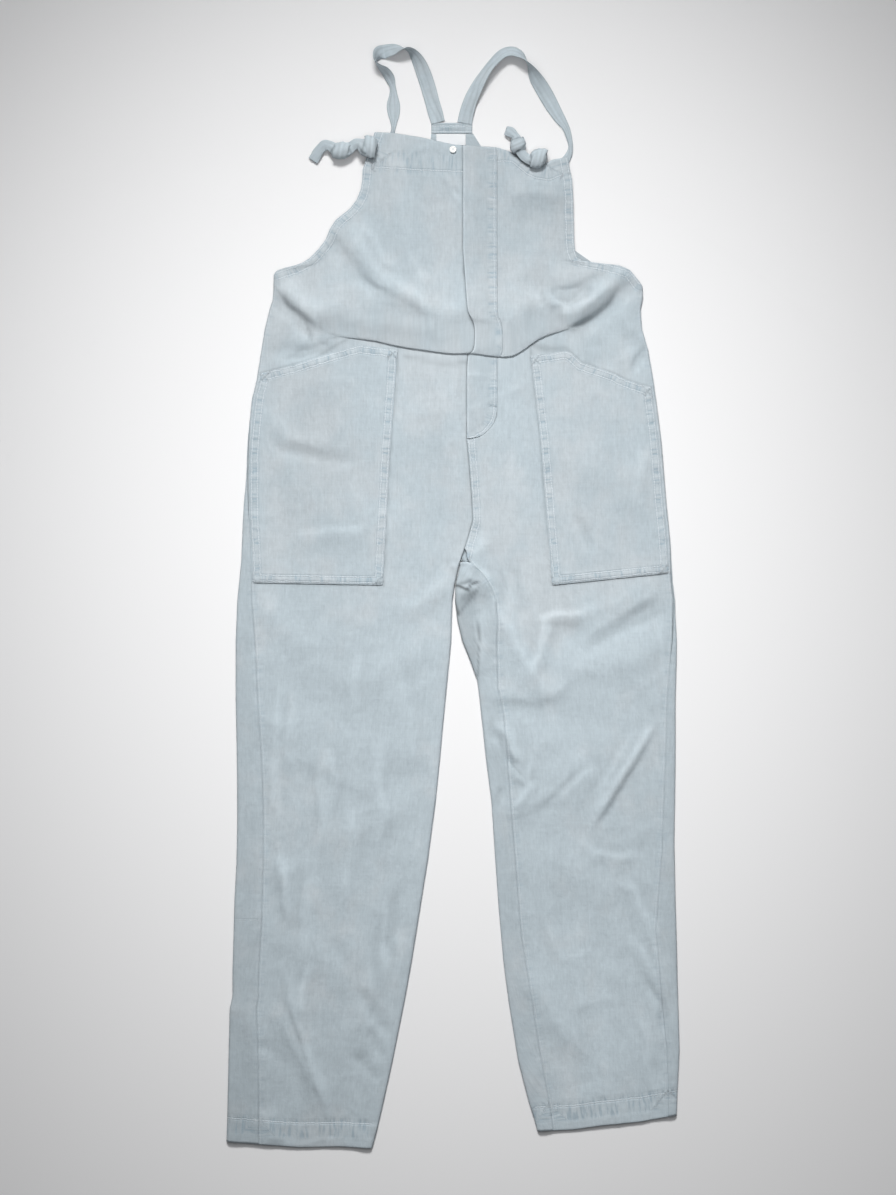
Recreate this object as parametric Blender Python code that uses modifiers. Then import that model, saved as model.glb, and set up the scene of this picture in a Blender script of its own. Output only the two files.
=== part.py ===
"""Denim bib overalls lying flat on their back, front up.

+Y runs from the hems to the straps, +X to the viewer's right, +Z up from the surface.
All tables are in millimetres. A table's first row names its columns.
"""
import math

import bmesh
import bpy

# Driving dimensions in millimetres
WALL = 1.2
SEAM_GAP = 0.3
STACK = WALL + SEAM_GAP
BACK_Z = WALL / 2
FRONT_Z = 3.3
EDGE_PUFF = 1.7
EDGE_PUFF_REACH = 26.0
EDGE_ROUND_TOP = 5.0
EDGE_ROUND_LOW = 4.0
BIB_TOP_Y = 562.0
FOLD_Y = 315.0
FOLD_HALF = 30.0
FOLD_HEIGHT = 7.6
EDGE_SEAM = 0.05
POCKET_LIFT = STACK + 0.45
UNDERLAP = 6.0
BUTTON_RADIUS = 4.4
BUTTON_THICK = 2.2
BUTTON_GAP = 0.5
BUTTON_X = 0.0
BUTTON_Y = 556.5
CROTCH_Y = 38.0
UNDERARM_LEFT_Y = 401.0
UNDERARM_RIGHT_Y = 386.0
LEFT_HEM_Y = -690.0
RIGHT_HEM_Y = -669.0
HEM_SLANT_FROM = 560.0
HEM_SLANT_TO = 650.0
TOP_SLANT_DEEP = 80.0
PLACKET_SEWN_X = 55.0
PLACKET_STRAIGHT_Y = 232.0
PLACKET_FOOT_Y = 196.0
RIGHT_LEG_Y = 57.0
LABEL_THICK = 1.0

# Outer edge of the viewer's left half, from the bib's corner to the hem
LEFT_OUTER = (
    ("y", "x"),
    (580, -97), (560, -104), (546, -108), (531, -113), (519, -113), (507, -115), (494, -120),
    (482, -129), (469, -146), (457, -154), (444, -159), (432, -168), (420, -180), (413, -192),
    (407, -218), (401, -223.5), (382, -224), (369, -225), (357, -229), (332, -235), (307, -239),
    (269, -245), (244, -251), (194, -256), (119, -261), (44, -264), (-6, -269), (-56, -271),
    (-131, -271), (-206, -269.5), (-281, -269), (-331, -270), (-381, -272.5), (-470, -275),
    (-500, -275), (-516, -278.5), (-581, -280), (-653, -281.5), (-680, -282.5), (-692, -281),
)

# Outer edge of the viewer's right half
RIGHT_OUTER = (
    ("y", "x"),
    (548, 142.5), (532, 146), (519, 148.5), (494, 150), (444, 151), (429, 152.5), (421, 156),
    (416, 164), (414.5, 184), (413, 204), (407, 220), (394, 231), (386, 236.5), (372, 237),
    (357, 234), (332, 236), (307, 243.5), (269, 250), (244, 253.5), (194, 260), (119, 266),
    (69, 271), (19, 274), (-6, 278), (-56, 279.5), (-131, 277.5), (-206, 277.5), (-306, 276),
    (-381, 277.5), (-431, 279), (-481, 280), (-568, 282.5), (-618, 280), (-670, 278),
)

# Line where the two fronts meet: the placket's folded edge, then the centre seam down to the crotch
CENTRE_LINE = (
    ("y", "x"),
    (580, 12.5), (432, 12.5), (369, 17), (335, 20.5), (313, 20), (285, 17.5), (194, 17.5),
    (169, 20), (124, 23.5), (94, 25), (69, 18), (41, 9), (12, 2.5), (-10, 1),
)

LEFT_INNER_LEG = (
    ("y", "x"),
    (41, 9), (12, 2.5), (-6, 0), (-31, -1), (-56, -1.5), (-81, -4), (-131, -9), (-206, -16),
    (-256, -21), (-331, -31), (-381, -39), (-456, -51), (-506, -60), (-581, -75), (-631, -86),
    (-666, -94), (-692, -101),
)

RIGHT_INNER_LEG = (
    ("y", "x"),
    (41, 9), (12, 2.5), (-6, 2), (-31, 5), (-56, 11), (-81, 21), (-106, 30), (-131, 33),
    (-206, 41), (-256, 47.5), (-331, 52.5), (-381, 56), (-456, 62.5), (-506, 69), (-581, 81),
    (-631, 94), (-653, 101), (-672, 106),
)

# How far inside the outline each side seam lies on the top, and the right leg's inside seam
LEFT_SIDE_SEAM = (
    ("y", "inset"),
    (219, EDGE_SEAM), (94, 7.5), (16, 15), (-56, 24), (-131, 27.5), (-243, 32), (-318, 33),
    (-406, 35), (-493, 32), (-556, 36), (-650, 39), (-692, 40),
)
RIGHT_SIDE_SEAM = (
    ("y", "inset"),
    (60, EDGE_SEAM), (-10, 4), (-131, 10), (-318, 15), (-418, 25), (-506, 20), (-618, 12), (-670, 10),
)
RIGHT_INSEAM = (
    ("y", "x"),
    (58, 16), (46, 18), (38, 24), (30, 33), (20, 41), (10, 47), (-7, 54), (-34, 56), (-67, 55),
    (-116, 56.5), (-153, 64), (-357, 80), (-421, 85), (-484, 95), (-548, 105), (-612, 116),
    (-650, 123), (-670, 125),
)

# Centre seam of the back, down to the crotch
BACK_CENTRE = (("y", "x"), (85, 0), (60, 7), (46, 10.8), (38, 8.2))

# Curved armholes of the back, hidden under the bib
LEFT_BACK_ARMHOLE = (
    ("y", "x"),
    (579, -27), (569, -28), (560, -33), (519, -60), (463, -104), (426, -154), (404, -204),
    (401, -222),
)
RIGHT_BACK_ARMHOLE = (
    ("y", "x"),
    (579, 24), (544, 46), (494, 84), (444, 134), (409, 184), (394, 225), (386, 234),
)

BIB_TOP = (
    ("x", "y"),
    (-98, 578), (-72, 577), (-41, 572), (3, 562.5), (12.5, 562), (55, 559.5), (71, 554),
    (84, 547), (102, 538), (115, 539), (125, 544), (143, 547),
)
LEFT_HEM = (("x", "y"), (-283, -682), (-230, -686), (-191, -689), (-141, -688), (-101, -690))
RIGHT_HEM = (("x", "y"), (103, -669), (150, -667), (184, -662), (234, -657), (278, -649))

# Lower edge of the slack bib cloth where it hangs over the waist, and how far it overhangs
BIB_FOLD = (
    ("x", "y", "overhang"),
    (-225, 332, 0), (-183, 329, 2), (-141, 323, 10), (-98, 318, 17), (-69, 311, 20),
    (-36, 306, 22), (0, 301, 22), (20, 303, 20), (41, 299, 22), (74, 297, 22), (92, 309, 20),
    (107, 321, 17), (134, 330, 13), (158, 336, 6), (175, 340, 0), (232, 340, 0),
)

# The largest creases of the front. Each runs from one end to the other; a negative height is a trough
CREASES = (
    ("x0", "y0", "x1", "y1", "width", "height"),
    (-222, 374, -182, 330, 9, -3.0), (-214, 384, -150, 352, 16, 4.0), (-154, 452, -95, 382, 11, -3.0),
    (-138, 458, -60, 370, 14, 2.6), (-120, 500, -100, 400, 14, 1.8), (-60, 370, 5, 350, 16, 2.4),
    (-70, 540, -40, 430, 18, 1.6), (120, 400, 190, 408, 18, 3.0), (90, 395, 150, 360, 15, -2.6),
    (150, 352, 212, 400, 11, 4.6), (158, 330, 222, 385, 9, -2.6), (80, 480, 140, 470, 24, -1.6),
    (75, 330, 105, 440, 18, 1.8), (-205, 350, -170, 296, 14, 2.6), (-235, 306, -150, 300, 12, -1.8),
    (215, 330, 252, 290, 10, -2.0),
    (12, 52, 42, 10, 24, 4.0), (-5, 22, -60, -20, 12, 2.2), (60, -30, 110, -110, 15, 3.0),
    (135, -60, 262, -20, 20, -2.2), (150, -95, 265, -60, 22, 2.6), (52, -175, 85, -225, 14, 2.0),
    (132, -255, 170, -220, 13, 1.8), (178, -276, 244, -174, 9, 2.6), (60, -130, 190, -160, 20, -1.6),
    (-240, -20, -170, -60, 18, 1.8), (-40, -60, -130, -110, 20, 2.2), (-230, -160, -80, -205, 24, 1.8),
    (-210, -335, -206, -406, 12, 2.6), (-204, -530, -160, -656, 11, 2.8), (-60, -250, -150, -300, 20, 1.8),
    (-250, -420, -120, -470, 24, 2.0), (-75, -440, -140, -560, 18, 1.8), (100, -330, 200, -370, 24, 1.8),
    (240, -420, 276, -545, 12, 2.4), (95, -470, 150, -560, 16, 2.2), (150, -420, 200, -640, 22, 1.8),
    (-270, -500, -230, -600, 16, 2.0), (-140, 120, -60, 90, 26, 1.4), (120, 190, 230, 130, 28, 1.6),
    (-10, 270, 5, 120, 16, 1.6), (70, 270, 85, 60, 18, 1.6), (-235, 215, -120, 60, 26, 1.4),
)

# Rows of the fronts and backs, from the top of the bib down to the hem
BIB_ROWS = (562, 540, 519, 500, 484, 470, 457, 444, 431, 420, 414, 408, 400.5, 386, 370)
FOLD_ROWS = (36, 27, 20, 14, 8, 0, -8, -14, -20, -27, -36)
LEG_ROWS = (
    258, 236, 222, 210, 202, 197, 178, 150, 122, 95, 70, 56, 46, 38, 28, 12, -8, -32, -58, -90,
    -130, -172, -218, -262, -306, -352, -402, -450, -500, -548, -592, -630, -655, -675, -690,
)
BACK_TOP_ROWS = (
    577, 560, 532, 505, 478, 452, 428, 412, 400.5, 386, 370, 351, 342, 329, 315, 301, 288, 279,
)

# Inset and lift of the right back where it stands up at the crotch, before it turns over the inside leg
STANDING_FLAP = (
    ("flat", "standing", "lift"),
    (14, 6, 0), (10.5, 3, 0), (8, 1.4, 0.2), (5.5, 0.7, 0.7), (3, 0.6, 1.3), (0, 0.6, 1.9),
)

# Shares of the way across a front at which its points lie, closer at both edges
FRONT_SHARES = (0, 0.006, 0.022, 0.075, 0.18, 0.31, 0.44, 0.57, 0.70, 0.83, 0.945, 0.985, 1)

# Straps: centre line from the yoke to under the bib, twist about their length in degrees, and section
STRAP_LEFT = (
    ("x", "y", "turn", "width", "thick"),
    (-18.6, 590.9, 0, 18, 1.8), (-22, 603, 0, 18, 1.8), (-26.5, 619, 2, 18, 1.8),
    (-31, 635, 6, 18, 1.8), (-36, 650, 14, 18, 1.8), (-41, 662, 26, 18, 1.8),
    (-47, 672, 48, 18, 1.8), (-55, 680, 80, 18, 1.8), (-65, 682, 118, 18, 1.8),
    (-74, 681.5, 150, 18, 1.8), (-83, 680, 170, 18, 1.8), (-90, 678, 196, 18, 1.8),
    (-95, 673, 236, 18, 1.8), (-96.5, 666, 262, 18, 1.8), (-92, 659, 280, 18, 1.8),
    (-85, 653.5, 300, 18, 1.8), (-79, 646, 325, 14, 2.2), (-75.5, 636, 350, 8, 3),
    (-74.5, 626, 356, 10, 2.4), (-74.5, 614, 360, 16, 1.8), (-74, 602, 360, 15, 1.8),
    (-74, 592, 360, 9, 2.6), (-74.5, 583, 360, 5, 3.6), (-77, 574, 360, 7, 3),
    (-83, 566, 360, 10, 2.4), (-92, 562, 360, 11, 2.2),
)
STRAP_RIGHT = (
    ("x", "y", "turn", "width", "thick"),
    (14.6, 589.9, 0, 18, 1.8), (17, 602, 4, 18, 1.8), (21.5, 617, 12, 18, 1.8),
    (28, 631, 26, 18, 1.8), (35, 644, 38, 18, 1.8), (43, 656, 46, 18, 1.8),
    (52, 667, 46, 18, 1.8), (62, 676, 42, 18, 1.8), (73, 679, 40, 18, 1.8),
    (82.5, 675.5, 48, 18, 1.8), (89.5, 668.5, 72, 18, 1.8), (95, 660, 100, 18, 1.8),
    (101.5, 648, 136, 18, 1.8), (109, 637, 160, 18, 1.8), (117, 624, 174, 18, 1.8),
    (125, 610, 180, 17, 1.8), (133.5, 596, 180, 14, 2), (141, 584.5, 180, 9, 2.8),
    (145, 572, 180, 7, 3.4), (147, 560, 180, 6, 3.6), (144, 549, 180, 9, 2.6),
    (137, 540, 180, 12, 2), (128, 533, 180, 12, 2),
)

# Tie ends: the knot on the bib, the link, the second knot and the tail of each strap
TIE_LEFT = (
    ("x", "y", "z", "across", "thick"),
    (-95.5, 556, 12.3, 5, 3), (-98, 557, 12.5, 9.5, 5), (-104, 559, 12.7, 12.5, 6.3),
    (-110, 560, 12.5, 11.5, 6), (-114, 561.5, 12, 8, 4.5), (-117.5, 563, 11.4, 6, 2.8),
    (-121, 562.5, 10.9, 6, 2.4), (-127, 558.5, 9.8, 6.2, 2.6), (-130, 556.5, 9.3, 7.5, 4.6),
    (-134, 555, 9, 8.6, 6), (-140, 554.5, 8.6, 8.8, 6.6), (-146, 556, 8.2, 8.4, 6),
    (-150, 558.5, 7.4, 6.6, 4), (-154, 561, 6.6, 6, 2.6), (-160, 561.5, 6, 6, 2),
    (-166, 556.5, 5, 6.2, 1.8), (-171, 549.5, 3.8, 6.4, 1.5), (-175.5, 543, 3, 6.6, 1.2),
)
TIE_RIGHT = (
    ("x", "y", "z", "across", "thick"),
    (116, 541, 9.9, 4, 3), (113.5, 542, 10.1, 8.5, 5), (108, 544.5, 10.3, 11.3, 6.2),
    (101.5, 544, 10.2, 10.6, 6), (97, 543.5, 9.7, 7.5, 4.4), (93.5, 544, 9.4, 6, 2.6),
    (89, 547, 9.1, 5.8, 2.2), (84.5, 552, 8.8, 6, 2.6), (83, 555.5, 8.7, 7.4, 4.6),
    (81.2, 560, 8.6, 8.4, 6.2), (80, 566, 8.2, 8.2, 6.2), (79, 570.5, 7.4, 6.2, 4.2),
    (77.5, 574, 6.6, 4.8, 2.8), (74.5, 577, 6, 5.6, 2.8), (71, 580, 5, 6.8, 2.6),
    (67.5, 582, 4, 6.6, 2), (64.5, 583.5, 3.2, 5.6, 1.6),
)

# Colour and roughness of each piece
LOOKS = {
    "front_left": (0.50, 0.57, 0.61, 0.85),
    "front_right": (0.48, 0.56, 0.60, 0.85),
    "back_left": (0.41, 0.49, 0.54, 0.85),
    "back_right": (0.43, 0.51, 0.55, 0.85),
    "front_placket": (0.48, 0.55, 0.60, 0.85),
    "pocket_left": (0.46, 0.55, 0.59, 0.85),
    "pocket_right": (0.53, 0.60, 0.62, 0.85),
    "back_yoke": (0.47, 0.55, 0.60, 0.85),
    "blank_label": (0.75, 0.75, 0.75, 0.70),
    "strap_left": (0.47, 0.53, 0.57, 0.85),
    "strap_right": (0.47, 0.53, 0.57, 0.85),
    "tie_left": (0.46, 0.52, 0.56, 0.85),
    "tie_right": (0.46, 0.52, 0.56, 0.85),
    "top_button": (0.83, 0.83, 0.79, 0.35),
}


def read(table, x, key, value):
    """Value of a table's column at x, straight between its rows and level past its ends."""
    columns = table[0]
    a, b = columns.index(key), columns.index(value)
    rows = sorted(table[1:], key=lambda row: row[a])
    if x <= rows[0][a]:
        return rows[0][b]
    for low, high in zip(rows, rows[1:]):
        if x <= high[a]:
            share = (x - low[a]) / (high[a] - low[a])
            return low[b] + share * (high[b] - low[b])
    return rows[-1][b]


def ease(value, low, high):
    """Smooth step from 0 at low to 1 at high."""
    share = min(1.0, max(0.0, (value - low) / (high - low)))
    return share * share * (3 - 2 * share)


def mix(a, b, share):
    return a + (b - a) * share


def crease_height(x, y):
    """Sum of the soft ridges and troughs at a point of the front."""
    total = 0.0
    for x0, y0, x1, y1, width, height in CREASES[1:]:
        dx, dy = x1 - x0, y1 - y0
        length = math.hypot(dx, dy)
        along = ((x - x0) * dx + (y - y0) * dy) / (length * length)
        if along < -0.4 or along > 1.4:
            continue
        aside = ((x - x0) * dy - (y - y0) * dx) / length
        fade = ease(along, -0.25, 0.2) * ease(1 - along, -0.25, 0.2)
        total += height * fade * math.exp(-(aside / width) ** 2)
    return total * mix(0.2, 1, ease(edge_distance(x, y), 2, 18))


def edge_distance(x, y):
    """Distance along X from the nearest outline of the half that holds the point."""
    if x < read(CENTRE_LINE, y, "y", "x"):
        outer, inner, side = LEFT_OUTER, LEFT_INNER_LEG, 1
    else:
        outer, inner, side = RIGHT_OUTER, RIGHT_INNER_LEG, -1
    from_outer = (x - read(outer, y, "y", "x")) * side
    from_inner = (read(inner, y, "y", "x") - x) * side if y < CROTCH_Y else EDGE_PUFF_REACH
    return max(0.0, min(from_outer, from_inner))


def front_height(x, y):
    """Middle of the front's wall above the surface, without the bib's overhang."""
    puff = EDGE_PUFF * (1 - ease(edge_distance(x, y), 6, EDGE_PUFF_REACH))
    lift = 0.8 * ease(y, 500, 560)
    return max(FRONT_Z - 0.5, FRONT_Z + puff + lift + crease_height(x, y))


def top_height(x, y, outer_x, inner_x):
    """Front height that rounds down to half way at an edge where the cloth turns under."""
    height = front_height(x, y)
    middle = (height + BACK_Z) / 2
    near = min(abs(x - edge) if edge is not None else 1e9 for edge in (outer_x, inner_x))
    if near >= EDGE_ROUND_TOP:
        return height
    return middle + (height - middle) * math.sqrt(1 - (1 - near / EDGE_ROUND_TOP) ** 2)


def under_height(near, height):
    """Height of the cloth as it rounds from half way down to the surface."""
    middle = (height + BACK_Z) / 2
    return BACK_Z + (middle - BACK_Z) * (1 - math.sqrt(1 - (1 - near / EDGE_ROUND_LOW) ** 2))


def quarter_round(share, height):
    """Inset and height at a share of the way round from half way up the edge to the surface."""
    turn = share * math.pi / 2
    return EDGE_ROUND_LOW * (1 - math.cos(turn)), mix(BACK_Z, (height + BACK_Z) / 2, 1 - math.sin(turn))


def overlap_half(overhang):
    """Half the height of the overlap that an overhang makes."""
    slope = overhang * math.pi / FOLD_HALF
    if slope <= 1:
        return 0.0
    turn = math.acos(1 / slope)
    return overhang * math.sin(turn) - FOLD_HALF * turn / math.pi


def row_point(x, row, hem, hem_y):
    """Y and extra height of the front at x on a row, with the top, hem and bib fold followed."""
    overhang = read(BIB_FOLD, x, "x", "overhang")
    y = row
    y += (1 - ease(BIB_TOP_Y - row, 0, TOP_SLANT_DEEP)) * (read(BIB_TOP, x, "x", "y") - BIB_TOP_Y)
    y += ease(-row, HEM_SLANT_FROM, HEM_SLANT_TO) * (read(hem, x, "x", "y") - hem_y)
    above = row - FOLD_Y
    near_fold = ease(85 - abs(above), 0, 60)
    shift = read(BIB_FOLD, x, "x", "y") + overlap_half(overhang) - FOLD_Y
    y += near_fold * fold_follow(x) * shift
    if abs(above) < FOLD_HALF:
        y -= overhang * math.sin(math.pi * above / FOLD_HALF)
    rise = ease(above, -16, 16) * (1 - ease(above, 18, 95))
    return y, FOLD_HEIGHT * rise * min(1.0, overhang / 14)


def fold_follow(x):
    """1 where the rows follow the bib's fold, fading to 0 at both sides."""
    return ease(x, -236, -178) * ease(-x, -205, -150)


def solve_edge(edge_x, row, hem, hem_y):
    """Point where a row meets an outline that is given as x over y."""
    x = edge_x(row)
    for _ in range(12):
        y, _rise = row_point(x, row, hem, hem_y)
        x = edge_x(y)
    return x


def left_outer(y):
    return read(LEFT_OUTER, y, "y", "x")


def right_outer(y):
    return read(RIGHT_OUTER, y, "y", "x")


def left_inner(y):
    """Centre line above the crotch, then the left leg's inner edge with room for the right leg's wall."""
    if y > CROTCH_Y:
        return read(CENTRE_LINE, y, "y", "x")
    return read(LEFT_INNER_LEG, y, "y", "x") - STACK / 2


def right_inner(y):
    if y > CROTCH_Y:
        return read(CENTRE_LINE, y, "y", "x")
    return read(RIGHT_INNER_LEG, y, "y", "x") + STACK / 2


def placket_edge(y):
    """Side of the placket that is sewn down, which curves in to the centre seam at its foot."""
    if y >= PLACKET_STRAIGHT_Y:
        return PLACKET_SEWN_X
    share = min(1.0, (PLACKET_STRAIGHT_Y - y) / (PLACKET_STRAIGHT_Y - PLACKET_FOOT_Y))
    inward = 1 - math.sqrt(1 - share * share)
    return mix(PLACKET_SEWN_X, read(CENTRE_LINE, y, "y", "x") + SEAM_GAP, inward)


def front_left_edges(row):
    """Both ends of a row of the left front, and the edges where it turns under."""
    outer = solve_edge(left_outer, row, LEFT_HEM, LEFT_HEM_Y)
    free = row > UNDERARM_LEFT_Y
    start = outer if free else outer + read(LEFT_SIDE_SEAM, row, "y", "inset") + SEAM_GAP
    underlap = UNDERLAP * (ease(row, 352, 380) + (1 - ease(row, 250, 278)) * ease(row, 212, 236))
    inner = solve_edge(left_inner, row, LEFT_HEM, LEFT_HEM_Y)
    beside_leg = ease(-row, -62, -48)
    if row > CROTCH_Y:
        end = inner - SEAM_GAP / 2 + underlap - STACK / 2 * beside_leg
    else:
        end = inner - 2 * SEAM_GAP
    return start, end, None if free else outer, None if row > CROTCH_Y else inner


def front_right_edges(row):
    """Both ends of a row of the right front, from the centre or inside seam to the side."""
    outer = solve_edge(right_outer, row, RIGHT_HEM, RIGHT_HEM_Y)
    free = row > UNDERARM_RIGHT_Y
    end = outer if free else outer - read(RIGHT_SIDE_SEAM, row, "y", "inset") - SEAM_GAP
    if row > PLACKET_FOOT_Y:
        start = solve_edge(placket_edge, row, RIGHT_HEM, RIGHT_HEM_Y) + SEAM_GAP
    elif row > RIGHT_LEG_Y:
        start = read(CENTRE_LINE, row, "y", "x") + SEAM_GAP
    else:
        start = read(RIGHT_INSEAM, row, "y", "x") + SEAM_GAP
    return start, end, None if free else outer, None


def new_material(name):
    red, green, blue, rough = LOOKS[name]
    material = bpy.data.materials.new(name)
    material.use_nodes = True
    shader = material.node_tree.nodes["Principled BSDF"]
    shader.inputs["Base Color"].default_value = (red, green, blue, 1)
    shader.inputs["Roughness"].default_value = rough
    shader.inputs["Metallic"].default_value = 0
    return material


def add_object(name, mesh):
    mesh.materials.append(new_material(name))
    part = bpy.data.objects.new(name, mesh)
    PARTS.objects.link(part)
    return part


def add_sheet(name, rows, up=True, thickness=WALL):
    """A sheet of cloth through rows of points in millimetres, thickened to its wall."""
    mesh = bpy.data.meshes.new(name)
    form = bmesh.new()
    grid = [[form.verts.new([value * 0.001 for value in point]) for point in row] for row in rows]
    for high, low in zip(grid, grid[1:]):
        for a, b, c, d in zip(high, high[1:], low[1:], low):
            form.faces.new((d, c, b, a) if up else (a, b, c, d))
    form.to_mesh(mesh)
    form.free()
    part = add_object(name, mesh)
    solid = part.modifiers.new("Wall", "SOLIDIFY")
    solid.thickness = thickness * 0.001
    solid.offset = 0
    mesh.shade_smooth()
    return part


def front_rows():
    return BIB_ROWS + tuple(FOLD_Y + c for c in FOLD_ROWS) + LEG_ROWS


def build_front(name, edges, hem, hem_y):
    sheet = []
    for row in front_rows():
        row = max(row, hem_y)
        start, end, outer, inner = edges(row)
        line = []
        for share in FRONT_SHARES:
            x = mix(start, end, share)
            y, rise = row_point(x, row, hem, hem_y)
            z = top_height(x, y, outer, inner) + rise
            line.append((x, y, z))
        if not sheet or line[0][1] < sheet[-1][0][1] - 1 or abs(row - FOLD_Y) < 40:
            sheet.append(line)
    return add_sheet(name, sheet)


def back_line(row, side):
    """Points across one back on a row: over the side edge, flat below, and over the inner edge."""
    left = side < 0
    outer_table, armhole = (LEFT_OUTER, LEFT_BACK_ARMHOLE) if left else (RIGHT_OUTER, RIGHT_BACK_ARMHOLE)
    seam_table = LEFT_SIDE_SEAM if left else RIGHT_SIDE_SEAM
    underarm = UNDERARM_LEFT_Y if left else UNDERARM_RIGHT_Y
    hem, hem_y = (LEFT_HEM, LEFT_HEM_Y) if left else (RIGHT_HEM, RIGHT_HEM_Y)
    row = max(row, hem_y)
    inward = -side
    points = []

    def place(x, z):
        bend = ease(-row, HEM_SLANT_FROM, HEM_SLANT_TO) * (read(hem, x, "x", "y") - hem_y)
        points.append((x, row + bend, z))

    if row > underarm:
        edge = read(armhole, row, "y", "x")
        for step in (0, 1.5, 3, 4.5, 6, 8):
            place(edge + inward * step, BACK_Z)
    else:
        edge = solve_edge(left_outer if left else right_outer, row, hem, hem_y)
        inset = read(seam_table, row, "y", "inset")
        on_top = ease(inset, 1, 8)
        edge_height = front_height(edge, row)
        over = [(inset * share, None) for share in (1, 0.3, 0.05, 0)]
        over += [(near, under_height(near, edge_height)) for near in (0.9, EDGE_ROUND_LOW)]
        for step, (near, height) in enumerate(over):
            if height is None:
                height = top_height(edge + inward * near, row, edge, None)
            under_near, under = quarter_round(0.08 + 0.92 * step / 5, edge_height)
            place(edge + inward * mix(under_near, near, on_top), mix(under, height, on_top))
    first = points[-1][0]
    if row > CROTCH_Y + 4:
        centre = read(BACK_CENTRE, row, "y", "x") + side * SEAM_GAP / 2
        if left:
            last = [(centre - step, BACK_Z) for step in (8, 3, 0)]
        else:
            stand = 1 - ease(row, CROTCH_Y + 8, CROTCH_Y + 32)
            last = [
                (centre + mix(flat, standing, stand), BACK_Z + lift * stand)
                for flat, standing, lift in STANDING_FLAP[1:]
            ]
        for share in (0.33, 0.67):
            place(mix(first, last[0][0], share), BACK_Z)
        for x, height in last:
            place(x, height)
        return points
    inner = solve_edge(left_inner if left else right_inner, row, hem, hem_y)
    flat_end = inner - inward * EDGE_ROUND_LOW
    for share in (0.33, 0.67, 1):
        place(mix(first, flat_end, share), BACK_Z)
    edge_height = front_height(inner, row)
    if left:
        for share in (0.55, 0.08):
            near, height = quarter_round(share, edge_height)
            place(inner - inward * near, height)
        return points
    place(inner - inward * 0.9, under_height(0.9, edge_height))
    seam = read(RIGHT_INSEAM, row, "y", "x")
    for share in (0, 0.05, 0.3, 1):
        x = mix(inner, seam, share)
        place(x, top_height(x, row, None, inner))
    return points


def build_back(name, side):
    sheet = [back_line(row, side) for row in BACK_TOP_ROWS + LEG_ROWS]
    kept = [sheet[0]]
    for line in sheet[1:]:
        if line[0][1] < kept[-1][0][1] - 1:
            kept.append(line)
    return add_sheet(name, kept, up=side > 0)


def build_placket():
    sheet = []
    for row in front_rows():
        if row <= PLACKET_FOOT_Y:
            break
        start = solve_edge(right_inner, row, RIGHT_HEM, RIGHT_HEM_Y) + SEAM_GAP / 2
        end = solve_edge(placket_edge, row, RIGHT_HEM, RIGHT_HEM_Y)
        line = []
        for share in (0, 0.3, 0.65, 1):
            x = mix(start, end, share)
            y, rise = row_point(x, row, RIGHT_HEM, RIGHT_HEM_Y)
            over = (1 - ease(x - start, 9, 30)) * (1 - ease(36 - abs(row - FOLD_Y), 0, 8))
            line.append((x, y, front_height(x, y) + rise + STACK * over))
        sheet.append(line)
    return add_sheet("front_placket", sheet)


def build_pocket(name, left_edge, right_edge, top, bottom):
    """A patch pocket on a front: both sides are x over y, and top and bottom are y over x."""
    steps = 11
    sheet = []
    for i in range(steps):
        down = i / (steps - 1)
        line = []
        for j in range(steps):
            across = j / (steps - 1)
            x, y = 0.0, 150.0
            for _ in range(8):
                x = mix(left_edge(y), right_edge(y), across)
                y = mix(read(top, x, "x", "y"), read(bottom, x, "x", "y"), down)
            outer = left_outer(y) if x < 0 else right_outer(y)
            line.append((x, y, top_height(x, y, outer, None) + POCKET_LIFT))
        sheet.append(line)
    return add_sheet(name, sheet)


def build_pockets():
    top = (("x", "y"), (-241, 277), (-197, 288.5), (-156, 301.5), (-118, 312.5), (-69, 306.5))
    bottom = (("x", "y"), (-251, 16), (-87, 13))
    inner = (("y", "x"), (13, -87.5), (169, -79), (310, -69))
    build_pocket(
        "pocket_left",
        lambda y: left_outer(y) + max(4.0, read(LEFT_SIDE_SEAM, y, "y", "inset") + 1.5),
        lambda y: read(inner, y, "y", "x"), top, bottom,
    )
    top = (("x", "y"), (97, 299), (141, 305), (148, 302.5), (161, 290.5), (199, 278), (217, 269), (252, 258))
    bottom = (("x", "y"), (124, 13), (270, 28))
    inner_right = (("y", "x"), (13, 124), (194, 109), (298, 97))
    build_pocket(
        "pocket_right",
        lambda y: read(inner_right, y, "y", "x"),
        lambda y: right_outer(y) - max(4.0, read(RIGHT_SIDE_SEAM, y, "y", "inset") + 1.5),
        top, bottom,
    )


def build_yoke():
    rows = [[(x, y, BACK_Z) for x in (-27, -10, 7, 24)] for y in (588, 577.4)]
    add_sheet("back_yoke", rows)


def build_label():
    z = STACK + LABEL_THICK / 2
    rows = [[(x, y, z) for x in (-21, -9, 4, 16)] for y in (576.5, 567, 557)]
    add_sheet("blank_label", rows, thickness=LABEL_THICK)


def smooth_line(table, spacing):
    """Points every few millimetres along a smooth curve through a table's rows."""
    rows = [tuple(float(value) for value in row) for row in table[1:]]
    padded = [rows[0]] + rows + [rows[-1]]
    points = []
    for p0, p1, p2, p3 in zip(padded, padded[1:], padded[2:], padded[3:]):
        count = max(1, round(math.dist(p1[:2], p2[:2]) / spacing))
        for step in range(count):
            t = step / count
            points.append(tuple(
                0.5 * (2 * b + (c - a) * t + (2 * a - 5 * b + 4 * c - d) * t * t
                       + (3 * b - a - 3 * c + d) * t ** 3)
                for a, b, c, d in zip(p0, p1, p2, p3)))
    points.append(rows[-1])
    return points


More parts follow.
